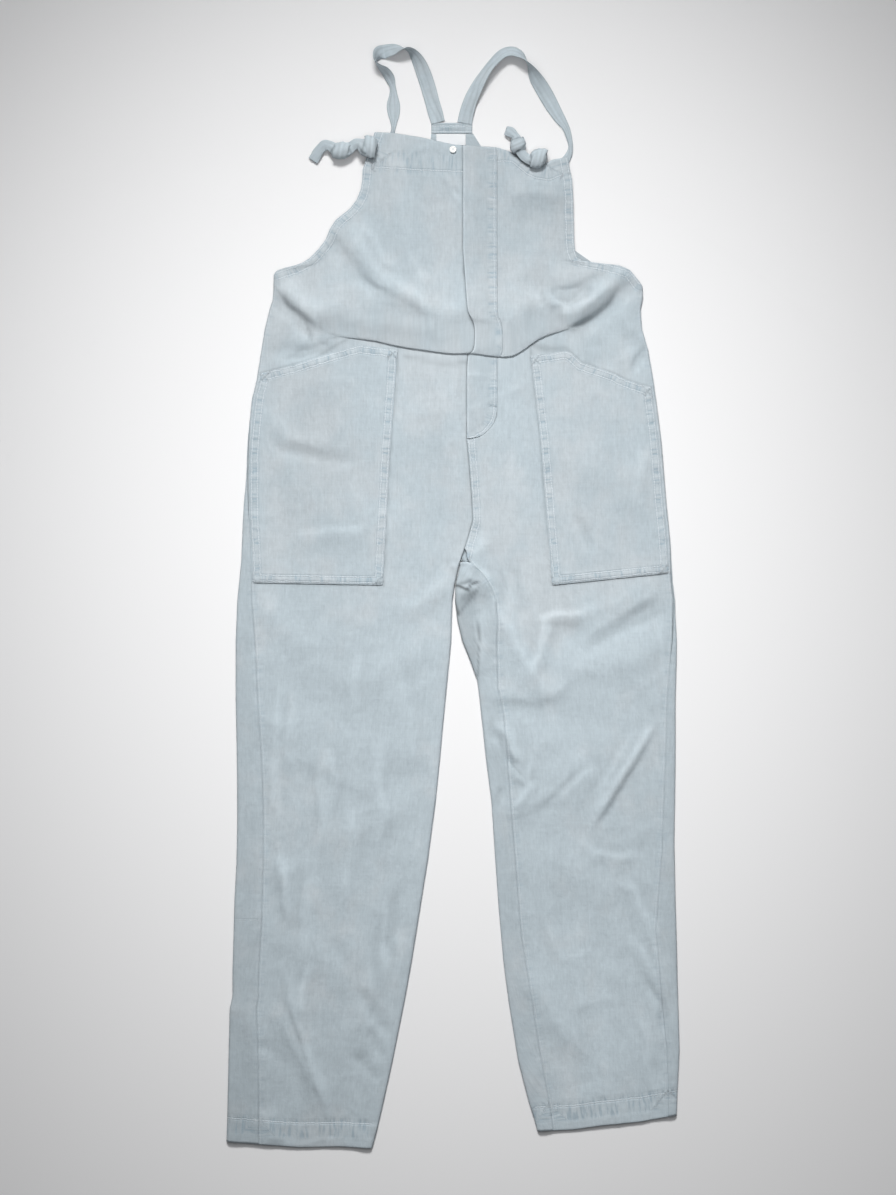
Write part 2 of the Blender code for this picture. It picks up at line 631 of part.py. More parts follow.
def run_direction(points, i):
    before, after = points[max(0, i - 1)], points[min(len(points) - 1, i + 1)]
    dx, dy = after[0] - before[0], after[1] - before[1]
    length = math.hypot(dx, dy)
    return dx / length, dy / length


def add_loft(name, rings):
    """A closed body through rings of points in millimetres, with flat ends."""
    mesh = bpy.data.meshes.new(name)
    form = bmesh.new()
    loops = [[form.verts.new([value * 0.001 for value in point]) for point in ring] for ring in rings]
    for low, high in zip(loops, loops[1:]):
        for i in range(len(low)):
            j = (i + 1) % len(low)
            form.faces.new((low[i], low[j], high[j], high[i]))
    form.faces.new(list(reversed(loops[0])))
    form.faces.new(loops[-1])
    bmesh.ops.recalc_face_normals(form, faces=form.faces)
    form.to_mesh(mesh)
    form.free()
    part = add_object(name, mesh)
    mesh.shade_smooth()
    return part


def build_strap(name, table):
    """A flat strap that twists about its length and always touches the surface."""
    points = smooth_line(table, 4.0)
    rings = []
    for i, (x, y, turn, width, thick) in enumerate(points):
        dx, dy = run_direction(points, i)
        angle = math.radians(turn)
        half, thin = width / 2, thick / 2
        flat, rise = math.cos(angle), math.sin(angle)
        z = half * abs(rise) + thin * abs(flat)
        ring = []
        for a, b in ((-1, -1), (0, -1), (1, -1), (1, 1), (0, 1), (-1, 1)):
            across, up = a * half * flat - b * thin * rise, a * half * rise + b * thin * flat
            ring.append((x + dy * across, y - dx * across, z + up))
        rings.append(ring)
    return add_loft(name, rings)


def build_tie(name, table):
    """A knotted stretch of strap as rounded sections along its run."""
    sides = 10
    points = smooth_line(table, 3.0)
    rings = []
    for i, (x, y, z, across, thick) in enumerate(points):
        dx, dy = run_direction(points, i)
        ring = []
        for side in range(sides):
            angle = 2 * math.pi * side / sides
            out, up = across * math.cos(angle), thick * math.sin(angle)
            ring.append((x + dy * out, y - dx * out, z + up))
        rings.append(ring)
    return add_loft(name, rings)


def build_button():
    z = front_height(BUTTON_X, BUTTON_Y) + WALL / 2 + BUTTON_GAP + BUTTON_THICK / 2
    bpy.ops.mesh.primitive_cylinder_add(
        vertices=24, radius=BUTTON_RADIUS * 0.001, depth=BUTTON_THICK * 0.001,
        location=(BUTTON_X * 0.001, BUTTON_Y * 0.001, z * 0.001),
    )
    button = bpy.context.object
    button.name = "top_button"
    for collection in button.users_collection:
        collection.objects.unlink(button)
    PARTS.objects.link(button)
    button.data.materials.append(new_material(button.name))
    button.data.shade_smooth()
    button.data.set_sharp_from_angle(angle=math.radians(40))
    edge = button.modifiers.new("Edge", "BEVEL")
    edge.width = 0.0005
    edge.segments = 2


for old in list(bpy.data.objects):
    bpy.data.objects.remove(old)
PARTS = bpy.data.collections.new("Denim overalls")
bpy.context.scene.collection.children.link(PARTS)

build_front("front_left", front_left_edges, LEFT_HEM, LEFT_HEM_Y)
build_front("front_right", front_right_edges, RIGHT_HEM, RIGHT_HEM_Y)
build_back("back_left", -1)
build_back("back_right", 1)
build_placket()
build_pockets()
build_yoke()
build_label()
build_strap("strap_left", STRAP_LEFT)
build_strap("strap_right", STRAP_RIGHT)
build_tie("tie_left", TIE_LEFT)
build_tie("tie_right", TIE_RIGHT)
build_button()
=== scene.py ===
"""Looks of the denim bib overalls: cloth shells, creases, seams, straps, light and camera.

Tables are in millimetres, with the hems at -Y and the straps at +Y. A table's first row names its columns,
except where a comment above it says what its rows hold.
"""
import math

import bmesh
import bpy
import numpy as np
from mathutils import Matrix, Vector


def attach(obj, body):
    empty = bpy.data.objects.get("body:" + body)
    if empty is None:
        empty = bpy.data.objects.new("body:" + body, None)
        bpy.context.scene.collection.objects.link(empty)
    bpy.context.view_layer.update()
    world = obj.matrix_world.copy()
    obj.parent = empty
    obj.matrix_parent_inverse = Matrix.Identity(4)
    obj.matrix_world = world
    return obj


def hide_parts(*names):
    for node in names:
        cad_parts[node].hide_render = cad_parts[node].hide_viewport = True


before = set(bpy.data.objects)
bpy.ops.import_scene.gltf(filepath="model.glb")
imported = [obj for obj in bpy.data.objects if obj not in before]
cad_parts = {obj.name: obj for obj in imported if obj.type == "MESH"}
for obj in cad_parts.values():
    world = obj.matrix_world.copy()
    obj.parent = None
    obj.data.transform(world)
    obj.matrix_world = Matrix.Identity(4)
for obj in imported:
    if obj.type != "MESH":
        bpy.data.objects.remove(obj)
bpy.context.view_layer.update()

# One millimetre in Blender's metres
MM = 0.001

# Cloth and layers
CLOTH = 0.7
WALL = 1.2
SEAM_GAP = 0.3
TIGHT_GAP = 0.08
STACK = WALL + SEAM_GAP
CAD_BACK_Z = WALL / 2
BACK_Z = CLOTH / 2 + 0.02
FRONT_Z = 3.3
LOWEST_FRONT_Z = 1.35
EDGE_PUFF = 1.7
EDGE_PUFF_REACH = 26.0
EDGE_ROUND_TOP = 5.0
EDGE_ROUND_LOW = 4.0
BIB_TOP_Y = 562.0
FOLD_Y = 315.0
FOLD_HALF = 30.0
EDGE_SEAM = 0.05
POCKET_LIFT = STACK + 0.45
UNDERLAP = 6.0
BUTTON_GAP = 0.5
BUTTON_X = 0.0
BUTTON_Y = 556.5
CROTCH_Y = 38.0
UNDERARM_LEFT_Y = 401.0
UNDERARM_RIGHT_Y = 386.0
LEFT_HEM_Y = -690.0
RIGHT_HEM_Y = -669.0
HEM_SLANT_FROM = 560.0
HEM_SLANT_TO = 650.0
TOP_SLANT_DEEP = 80.0
PLACKET_SEWN_X = 55.0
PLACKET_STRAIGHT_Y = 232.0
PLACKET_FOOT_Y = 196.0
RIGHT_LEG_Y = 57.0
LEG_HEM_DEEP = 30.0
FRONT_WIDE = 250.0
POCKET_WIDE = 175.0
POCKET_TALL = 282.0
STRAP_WIDE = 18
STRAP_THICK = 1.8
STRAP_WALL = 0.45
STRAP_GIRTH = 38.0
TIE_GIRTH = 34.0
STITCH_PITCH = 3.2
BUTTON_SIDES = 48

# Distance from a seam at which nothing of it is left
SEAM_FAR = 60.0

# A distance beyond all of the garment
FAR = 1e6

# Sizes of the picture
PHOTO_WIDTH_MM = 1120.0
CAMERA_X = -6.25
CAMERA_Y = -2.5
CAMERA_Z = 3000.0

# Outlines and seams, seen from above
LEFT_OUTER = (
    ("y", "x"),
    (580, -97), (560, -104), (546, -108), (531, -113), (519, -113), (507, -115), (494, -120),
    (482, -129), (469, -146), (457, -154), (444, -159), (432, -168), (420, -180), (413, -192),
    (407, -218), (401, -223.5), (382, -224), (369, -225), (357, -229), (332, -235), (307, -239),
    (269, -245), (244, -251), (194, -256), (119, -261), (44, -264), (-6, -269), (-56, -271),
    (-131, -271), (-206, -269.5), (-281, -269), (-331, -270), (-381, -272.5), (-470, -275),
    (-500, -275), (-516, -278.5), (-581, -280), (-653, -281.5), (-680, -282.5), (-692, -281),
)
RIGHT_OUTER = (
    ("y", "x"),
    (548, 142.5), (532, 146), (519, 148.5), (494, 150), (444, 151), (429, 152.5), (421, 156),
    (416, 164), (414.5, 184), (413, 204), (407, 220), (394, 231), (386, 236.5), (372, 237),
    (357, 234), (332, 236), (307, 243.5), (269, 250), (244, 253.5), (194, 260), (119, 266),
    (69, 271), (19, 274), (-6, 278), (-56, 279.5), (-131, 277.5), (-206, 277.5), (-306, 276),
    (-381, 277.5), (-431, 279), (-481, 280), (-568, 282.5), (-618, 280), (-670, 278),
)
CENTRE_LINE = (
    ("y", "x"),
    (580, 12.5), (432, 12.5), (369, 17), (335, 20.5), (313, 20), (285, 17.5), (194, 17.5),
    (169, 20), (124, 23.5), (94, 25), (69, 18), (41, 9), (12, 2.5), (-10, 1),
)
LEFT_INNER_LEG = (
    ("y", "x"),
    (41, 9), (12, 2.5), (-6, 0), (-31, -1), (-56, -1.5), (-81, -4), (-131, -9), (-206, -16),
    (-256, -21), (-331, -31), (-381, -39), (-456, -51), (-506, -60), (-581, -75), (-631, -86),
    (-666, -94), (-692, -101),
)
RIGHT_INNER_LEG = (
    ("y", "x"),
    (41, 9), (12, 2.5), (-6, 2), (-31, 5), (-56, 11), (-81, 21), (-106, 30), (-131, 33),
    (-206, 41), (-256, 47.5), (-331, 52.5), (-381, 56), (-456, 62.5), (-506, 69), (-581, 81),
    (-631, 94), (-653, 101), (-672, 106),
)
LEFT_SIDE_SEAM = (
    ("y", "inset"),
    (219, EDGE_SEAM), (94, 7.5), (16, 15), (-56, 24), (-131, 27.5), (-243, 32), (-318, 33),
    (-406, 35), (-493, 32), (-556, 36), (-650, 39), (-692, 40),
)
RIGHT_SIDE_SEAM = (
    ("y", "inset"),
    (60, EDGE_SEAM), (-10, 4), (-131, 10), (-318, 15), (-418, 25), (-506, 20), (-618, 12), (-670, 10),
)
RIGHT_INSEAM = (
    ("y", "x"),
    (58, 16), (46, 18), (38, 24), (30, 33), (20, 41), (10, 47), (-7, 54), (-34, 56), (-67, 55),
    (-116, 56.5), (-153, 64), (-357, 80), (-421, 85), (-484, 95), (-548, 105), (-612, 116),
    (-650, 123), (-670, 125),
)
BACK_CENTRE = (("y", "x"), (85, 0), (60, 7), (46, 10.8), (38, 8.2))
LEFT_BACK_ARMHOLE = (
    ("y", "x"),
    (579, -27), (569, -28), (560, -33), (519, -60), (463, -104), (426, -154), (404, -204),
    (401, -222),
)
RIGHT_BACK_ARMHOLE = (
    ("y", "x"),
    (579, 24), (544, 46), (494, 84), (444, 134), (409, 184), (394, 225), (386, 234),
)
BIB_TOP = (
    ("x", "y"),
    (-98, 578), (-72, 577), (-41, 572), (3, 562.5), (12.5, 562), (55, 559.5), (71, 554),
    (84, 547), (102, 538), (115, 539), (125, 544), (143, 547),
)
LEFT_HEM = (("x", "y"), (-283, -682), (-230, -686), (-191, -689), (-141, -688), (-101, -690))
RIGHT_HEM = (("x", "y"), (103, -669), (150, -667), (184, -662), (234, -657), (278, -649))
BIB_FOLD = (
    ("x", "y", "overhang"),
    (-225, 332, 0), (-183, 329, 2), (-141, 323, 10), (-98, 318, 17), (-69, 311, 20),
    (-36, 306, 22), (0, 301, 22), (20, 303, 20), (41, 299, 22), (74, 297, 22), (92, 309, 20),
    (107, 321, 17), (134, 330, 13), (158, 336, 6), (175, 340, 0), (232, 340, 0),
)

# Largest creases, the same as the solids', then the finer ones. A negative height is a trough
CREASES = (
    ("x0", "y0", "x1", "y1", "width", "height"),
    (-222, 374, -182, 330, 9, -3.0), (-214, 384, -150, 352, 16, 4.0), (-154, 452, -95, 382, 11, -3.0),
    (-138, 458, -60, 370, 14, 2.6), (-120, 500, -100, 400, 14, 1.8), (-60, 370, 5, 350, 16, 2.4),
    (-70, 540, -40, 430, 18, 1.6), (120, 400, 190, 408, 18, 3.0), (90, 395, 150, 360, 15, -2.6),
    (150, 352, 212, 400, 11, 4.6), (158, 330, 222, 385, 9, -2.6), (80, 480, 140, 470, 24, -1.6),
    (75, 330, 105, 440, 18, 1.8), (-205, 350, -170, 296, 14, 2.6), (-235, 306, -150, 300, 12, -1.8),
    (215, 330, 252, 290, 10, -2.0),
    (12, 52, 42, 10, 24, 4.0), (-5, 22, -60, -20, 12, 2.2), (60, -30, 110, -110, 15, 3.0),
    (135, -60, 262, -20, 20, -2.2), (150, -95, 265, -60, 22, 2.6), (52, -175, 85, -225, 14, 2.0),
    (132, -255, 170, -220, 13, 1.8), (178, -276, 244, -174, 9, 2.6), (60, -130, 190, -160, 20, -1.6),
    (-240, -20, -170, -60, 18, 1.8), (-40, -60, -130, -110, 20, 2.2), (-230, -160, -80, -205, 24, 1.8),
    (-210, -335, -206, -406, 12, 2.6), (-204, -530, -160, -656, 11, 2.8), (-60, -250, -150, -300, 20, 1.8),
    (-250, -420, -120, -470, 24, 2.0), (-75, -440, -140, -560, 18, 1.8), (100, -330, 200, -370, 24, 1.8),
    (240, -420, 276, -545, 12, 2.4), (95, -470, 150, -560, 16, 2.2), (150, -420, 200, -640, 22, 1.8),
    (-270, -500, -230, -600, 16, 2.0), (-140, 120, -60, 90, 26, 1.4), (120, 190, 230, 130, 28, 1.6),
    (-10, 270, 5, 120, 16, 1.6), (70, 270, 85, 60, 18, 1.6), (-235, 215, -120, 60, 26, 1.4),
)
FINE_CREASES = (
    ("x0", "y0", "x1", "y1", "width", "height"),
    (-155, 447, -107, 391, 5, -1.6), (-107, 391, -48, 358, 5, -1.6), (-183, 331, -176, 316, 4, -1.2),
    (-205, 296, -164, 304, 4, -1.4), (112, 369, 120, 357, 5, -1.0), (120, 357, 150, 356, 5, -1.2),
    (141, 377, 178, 399, 5, -1.4), (244, 314, 223, 280, 4, -1.6), (60, -30, 110, -110, 5, 1.2),
    (180, -274, 244, -174, 4, 1.8), (186, -280, 250, -180, 4, -1.2), (-210, -337, -206, -406, 4, 1.2),
    (-203, -530, -160, -656, 4, -1.4), (52, -175, 85, -225, 5, 1.0), (134, -256, 171, -218, 5, 1.0),
    (120, -37, 99, -112, 5, 0.9), (171, -62, 265, -18, 6, -1.0),
    (12, 30, 40, 4, 5, 0.8), (-8, 40, 10, 20, 4, -1.2), (-117, 393, -102, 368, 5, 0.9),
    (240, -430, 276, -550, 5, -1.0), (-10, 525, 10, 488, 4, 0.9), (-16, 515, 8, 500, 4, -0.9),
)

# Folds that run through several points: height, width on the left of the run and on its right, points
FOLDS = (
    (4.5, 16, 5, ((-217, 393), (-197, 363), (-178, 347), (-160, 334))),
    (3.4, 34, 8, ((-156, 455), (-139, 436), (-119, 408), (-95, 390), (-60, 372), (-14, 350))),
    (1.8, 16, 12, ((-178, 378), (-135, 351), (-63, 338), (20, 331))),
    (1.9, 10, 5, ((-120, 466), (-101, 445), (-83, 416), (-58, 402))),
    (1.6, 9, 6, ((-86, 402), (-62, 384), (-40, 366), (-22, 340))),
    (1.4, 6, 9, ((-58, 430), (-40, 404), (-28, 384))),
    (-3.4, 8, 9, ((120, 379), (146, 376), (180, 383))),
    (3.4, 4, 10, ((114, 392), (118, 376), (128, 364), (147, 359), (172, 368), (210, 400))),
    (1.8, 5, 9, ((96, 398), (100, 378), (110, 362), (126, 350))),
    (4.6, 18, 4.5, ((136, 334), (172, 353), (192, 369), (204, 392))),
    (-2.2, 5, 4, ((248, 318), (230, 294), (225, 280))),
    (-2.6, 8, 5, ((-200, 299), (-176, 304), (-148, 309))),
    (2.0, 28, 11, ((56, 505), (100, 508), (150, 500))),
    (-1.6, 12, 7, ((-240, 216), (-214, 182), (-150, 168), (-105, 172))),
    (1.5, 14, 9, ((-236, 232), (-205, 197), (-150, 181))),
    (1.4, 6, 12, ((255, 190), (236, 165), (230, 128), (238, 100))),
    (1.2, 5, 12, ((-208, 74), (-150, 80), (-96, 82))),
    (-1.5, 7, 5, ((150, 105), (166, 80), (172, 50))),
    (2.6, 5, 10, ((88, -116), (110, -72), (113, -31), (125, -27), (161, -22), (192, -9))),
    (3.6, 9, 30, ((268, 12), (240, -4), (206, -24), (177, -42), (150, -60))),
    (2.4, 20, 8, ((28, -114), (60, -126), (91, -128), (122, -123), (154, -98))),
    (-2.8, 5, 5, ((40, -162), (59, -183), (69, -205), (84, -221))),
    (2.8, 11, 4, ((50, -156), (68, -178), (79, -200), (92, -216))),
    (1.7, 4, 4, ((70, -221), (91, -233), (102, -200))),
    (2.2, 4, 7, ((75, -270), (88, -247), (103, -228))),
    (-2.0, 4, 4, ((50, -270), (54, -254), (60, -238))),
    (2.4, 22, 8, ((68, -278), (116, -250), (140, -224), (180, -194))),
    (1.7, 4, 8, ((171, -264), (181, -244), (217, -186), (236, -165))),
    (-1.4, 6, 6, ((60, 48), (78, 26), (86, -8), (80, -40))),
    (1.1, 4, 14, ((-160, -180), (-147, -233), (-156, -300))),
    (1.8, 9, 26, ((-72, -80), (-55, -161), (-46, -228))),
    (1.1, 26, 12, ((-220, -190), (-166, -212), (-75, -256))),
    (1.5, 8, 8, ((-214, -70), (-222, -200), (-217, -330))),
    (1.5, 5, 5, ((-213, -306), (-217, -340), (-211, -372), (-205, -412))),
    (1.3, 9, 5, ((-160, -196), (-168, -240), (-163, -290), (-170, -330))),
    (1.2, 7, 10, ((-130, -250), (-124, -300), (-134, -360), (-130, -400))),
    (1.5, 6, 12, ((-86, -170), (-92, -230), (-85, -280), (-94, -330))),
    (1.2, 10, 5, ((-206, -96), (-200, -140), (-208, -190), (-203, -240))),
    (1.3, 8, 8, ((-118, -60), (-124, -110), (-119, -160))),
    (-1.0, 6, 6, ((-88, -390), (-98, -450), (-92, -500), (-102, -540))),
    (1.2, 12, 7, ((-188, -340), (-181, -367), (-184, -403), (-186, -447), (-195, -482))),
    (1.4, 7, 5, ((-176, -450), (-186, -480), (-190, -512), (-184, -540))),
    (2.3, 18, 7, ((-222, -452), (-205, -478), (-202, -505), (-196, -532), (-184, -553), (-180, -588),
                  (-168, -617), (-160, -660))),
    (-1.8, 8, 5, ((-70, -360), (-79, -432), (-72, -480))),
    (-0.8, 10, 9, ((-156, -420), (-138, -448), (-120, -486))),
    (-1.3, 11, 6, ((-120, -484), (-100, -526), (-76, -556))),
    (-1.1, 10, 6, ((-128, -568), (-106, -594), (-86, -610))),
    (-0.8, 8, 6, ((-108, -536), (-94, -560), (-80, -584))),
    (-0.9, 10, 8, ((-250, -552), (-226, -571), (-198, -592))),
    (1.4, 14, 9, ((-240, -640), (-228, -660), (-222, -690))),
    (-1.0, 9, 8, ((226, -350), (242, -388), (256, -424))),
    (-2.2, 8, 5, ((236, -468), (250, -492), (260, -512), (262, -556))),
    (-1.5, 4, 5, ((266, -478), (272, -506), (275, -536))),
    (1.6, 8, 5, ((228, -520), (240, -548), (250, -590))),
    (-0.5, 12, 10, ((168, -428), (194, -448), (226, -462))),
    (-0.5, 14, 10, ((120, -560), (150, -590), (176, -630))),
    (1.0, 14, 14, ((200, -400), (190, -520), (196, -630))),
    (1.8, 6, 9, ((206, -352), (228, -372), (244, -404), (258, -430))),
    (1.5, 5, 9, ((216, -420), (236, -446), (252, -480), (262, -520))),
    (1.2, 8, 6, ((236, -560), (246, -600), (252, -636))),
    (1.4, 5, 10, ((150, -300), (178, -322), (206, -330), (240, -322))),
    (-1.1, 7, 7, ((104, -350), (112, -420), (124, -480))),
    (2.4, 12, 4, ((31, -14), (32, -40), (32.5, -70), (31, -104))),
    (1.8, 4, 5, ((3, 3), (13, 3), (21, 9), (26, 15))),
    (-2.4, 3, 3, ((0, 14), (14, 12), (30, 17))),
    (1.8, 4, 4, ((26, 40), (40, 24), (50, 4), (54, -22))),
    (-1.6, 4, 4, ((60, 36), (64, 10), (64, -24))),
)
# Height of the bib's cloth over the waist along its rows, from the belly, under the lip and up the roll
FOLD_RISE = (
    ("above", "rise"),
    (-18, 0), (-13, 0.25), (-10.5, 0.7), (-6, 1.2), (0, 1.35), (6, 1.55), (10.5, 2.1), (13, 2.7), (16, 3.2),
    (20, 4.0), (25, 5.1), (31, 6.2), (38, 6.9), (46, 6.9), (58, 5.4), (74, 2.6), (90, 0.5), (98, 0),
)
# Narrow gaps between folds, where little light gets in: width, amount, points
CROTCH_GAPS = (
    (1.9, 0.72, ((0, 13), (7.5, 12), (18, 7), (23, 14), (31, 17))),
    (1.9, 0.50, ((-1, 2), (3, -12), (7, -24))),
    (2.2, 0.26, ((33, 12), (24, -1), (8, -22))), (6.0, 0.09, ((21, 0), (12, -8), (6, -16))),
    (1.5, 0.42, ((32, -18), (32.5, -60), (31, -100))),
)
# Where the placket's folded edge stands off the cloth under it, and the painted shadow beside the edge is
# deeper and wider
PLACKET_GAPS = (("y", "reach", "amount"), (404, 9, 0.6), (341, 9, 1.0), (309, 3, 0.8))
# Narrow gaps at the bib's corners, knee and waist folds, painted dark as shade: width, amount, points
BIB_GAPS = (
    (2.4, 0.62, ((72, 554), (83, 544.5), (98.5, 534.5), (111, 537))),
    (2.2, 0.62, ((-111, 549), (-103, 544.5), (-95, 549))),
    (1.3, 0.20, ((40, -162), (59, -183), (69, -205), (84, -221))),
    (2.0, 0.16, ((-222, 385), (-204, 361), (-184, 344), (-177, 320))),
    (2.5, 0.20, ((-60, 298), (-30, 293), (0, 289), (18, 291))),
)


def column(table, name):
    return np.array([float(row[table[0].index(name)]) for row in table[1:]])


def read(table, x, key, value):
    """Value of a table's column at x, straight between its rows and level past its ends."""
    keys, values = column(table, key), column(table, value)
    order = np.argsort(keys)
    return np.interp(x, keys[order], values[order])


def x_at(table, y):
    return read(table, y, "y", "x")


def y_at(table, x):
    return read(table, x, "x", "y")


def inset_at(table, y):
    return read(table, y, "y", "inset")


def bell(value, wide):
    """1 at zero, falling off evenly to both sides."""
    return np.exp(-(value / wide) ** 2)


def ease(value, low, high):
    share = np.clip((value - low) / (high - low), 0.0, 1.0)
    return share * share * (3 - 2 * share)


def mix(a, b, share):
    return a + (b - a) * share


def hashed(ix, iy, seed):
    value = np.sin(ix * 127.1 + iy * 311.7 + seed * 74.7) * 43758.5453
    return value - np.floor(value)


def noise(x, y, seed=0):
    """Smooth noise from -1 to 1 with a period of one unit."""
    ix, iy = np.floor(x), np.floor(y)
    fx, fy = x - ix, y - iy
    fx = fx * fx * fx * (fx * (fx * 6 - 15) + 10)
    fy = fy * fy * fy * (fy * (fy * 6 - 15) + 10)
    low = mix(hashed(ix, iy, seed), hashed(ix + 1, iy, seed), fx)
    high = mix(hashed(ix, iy + 1, seed), hashed(ix + 1, iy + 1, seed), fx)
    return mix(low, high, fy) * 2 - 1


def crease_sum(table, x, y):
    total = np.zeros_like(x)
    for x0, y0, x1, y1, width, height in table[1:]:
        dx, dy = x1 - x0, y1 - y0
        length = math.hypot(dx, dy)
        along = ((x - x0) * dx + (y - y0) * dy) / (length * length)
        aside = ((x - x0) * dy - (y - y0) * dx) / length
        bow = aside + width * 0.5 * noise(along * 1.7, np.zeros_like(along), x0 + y1)
        fade = ease(along, -0.25, 0.2) * ease(1 - along, -0.25, 0.2)
        total += height * fade * bell(bow, width)
    return total


def line_field(x, y, line):
    """Signed distance from a run of points, positive on its left, and the length along it."""
    best = np.full_like(x, FAR)
    signed = np.full_like(x, FAR)
    along = np.zeros_like(x)
    run = 0.0
    for (ax, ay), (bx, by) in zip(line, line[1:]):
        dx, dy = bx - ax, by - ay
        length = math.hypot(dx, dy)
        share = np.clip(((x - ax) * dx + (y - ay) * dy) / (length * length), 0, 1)
        ox, oy = x - ax - share * dx, y - ay - share * dy
        far = np.hypot(ox, oy)
        near = far < best
        best = np.where(near, far, best)
        signed = np.where(near, np.copysign(far, dx * oy - dy * ox), signed)
        along = np.where(near, run + share * length, along)
        run += length
    return signed, along


def fold_sum(x, y):
    total = np.zeros_like(x)
    for height, left, right, line in FOLDS:
        signed, along = line_field(x, y, line)
        share = along / sum(math.dist(a, b) for a, b in zip(line, line[1:]))
        signed = signed + 1.6 * noise(along / 26, share * 0, height + line[0][0])
        wide = np.where(signed > 0, left, right)
        total += height * ease(share, 0, 0.3) * ease(1 - share, 0, 0.3) * bell(signed, wide)
    return total * mix(1.2, mix(1.5, 1.0, ease(x, 10, 60)), ease(-y, -60, 20))


def gap_shade(x, y, lines):
    """Painted shade along narrow gaps: each is a width, an amount and a run of points."""
    total = np.ones_like(x)
    for wide, amount, line in lines:
        total *= 1 - amount * bell(line_field(x, y, line)[0], wide)
    return total


def edge_distance(x, y):
    left = x < x_at(CENTRE_LINE, y)
    outer = np.where(left, x - x_at(LEFT_OUTER, y), x_at(RIGHT_OUTER, y) - x)
    inner = np.where(left, x_at(LEFT_INNER_LEG, y) - x, x - x_at(RIGHT_INNER_LEG, y))
    inner = np.where(y < CROTCH_Y, inner, EDGE_PUFF_REACH)
    return np.maximum(0.0, np.minimum(outer, inner))


def crumple(x, y):
    """Soft unevenness all over the cloth, stronger across the legs."""
    legs = ease(-y, -60, 60)
    soft = 0.5 * noise(x / 60, y / 70, 3) + 0.34 * noise((x + y * 0.5) / 31, (y - x * 0.5) / 34, 5)
    small = 0.20 * noise((x - y * 0.4) / 14, (y + x * 0.4) / 17, 7) + 0.08 * noise(x / 7, y / 8, 9)
    ripples = legs * 0.5 * noise((x + y * 0.15) / 26, y / 120, 11)
    sharp = 1 - np.abs(noise((x + 0.35 * y) / 52, (y - 0.3 * x) / 66, 13))
    fine = 1 - np.abs(noise((x - 0.5 * y) / 30, (y + 0.2 * x) / 38, 15))
    patchy = 0.5 + 0.5 * noise(x / 80, y / 90, 17)
    lines = 0.75 * sharp ** 6 * patchy + 0.38 * fine ** 6 * (1 - patchy)
    return soft + small + ripples + lines


RELIEF_STEP = 1.5
RELIEF_X = np.arange(-300, 300, RELIEF_STEP)
RELIEF_Y = np.arange(-705, 605, RELIEF_STEP)


def whole_relief():
    x, y = np.meshgrid(RELIEF_X, RELIEF_Y)
    return crease_sum(CREASES, x, y) + crease_sum(FINE_CREASES, x, y) + fold_sum(x, y) + crumple(x, y)


def blurred(field, times):
    for _ in range(times):
        for axis in (0, 1):
            field = (np.roll(field, 1, axis) + np.roll(field, -1, axis) + 2 * field) / 4
    return field


RELIEF = whole_relief()
WEAR = RELIEF - blurred(RELIEF, 60)


def between(field, x, y):
    """Values of a field between the points of the grid that it was worked out on."""
    u = np.clip((x - RELIEF_X[0]) / RELIEF_STEP, 0, len(RELIEF_X) - 1.001)
    v = np.clip((y - RELIEF_Y[0]) / RELIEF_STEP, 0, len(RELIEF_Y) - 1.001)
    i, j = v.astype(int), u.astype(int)
    low = mix(field[i, j], field[i, j + 1], u - j)
    high = mix(field[i + 1, j], field[i + 1, j + 1], u - j)
    return mix(low, high, v - i)


def front_height(x, y):
    """Middle of the front's wall above the surface, without the bib's overhang."""
    near = edge_distance(x, y)
    puff = EDGE_PUFF * (1 - ease(near, 6, EDGE_PUFF_REACH))
    lift = 0.8 * ease(y, 500, 560)
    fade = mix(0.2, 1, ease(near, 2, 18))
    return np.maximum(LOWEST_FRONT_Z, FRONT_Z + puff + lift + between(RELIEF, x, y) * fade)


def top_height(x, y, outer_x, inner_x):
    """Front height that rounds down to half way at an edge where the cloth turns under."""
    height = front_height(x, y)
    middle = (height + CAD_BACK_Z) / 2
    near = np.minimum(np.abs(x - outer_x), np.abs(x - inner_x))
    share = np.clip(near / EDGE_ROUND_TOP, 0, 1)
    return middle + (height - middle) * np.sqrt(1 - (1 - share) ** 2)


def under_height(near, height):
    middle = (height + CAD_BACK_Z) / 2
    share = np.clip(near / EDGE_ROUND_LOW, 0, 1)
    return BACK_Z + (middle - BACK_Z) * (1 - np.sqrt(1 - (1 - share) ** 2))


def quarter_round(share, height):
    turn = share * math.pi / 2
    return EDGE_ROUND_LOW * (1 - math.cos(turn)), mix(BACK_Z, (height + CAD_BACK_Z) / 2, 1 - math.sin(turn))


def overlap_half(overhang):
    slope = overhang * math.pi / FOLD_HALF
    turn = np.arccos(np.clip(1 / np.maximum(slope, 1), -1, 1))
    return overhang * np.sin(turn) - FOLD_HALF * turn / math.pi


def fold_follow(x):
    return ease(x, -236, -178) * ease(-x, -205, -150)


def soft_read(x, name):
    """The waist fold's values, smoothed along it."""
    before, here, after = (read(BIB_FOLD, x + shift, "x", name) for shift in (-10, 0, 10))
    return (before + 2 * here + after) / 4


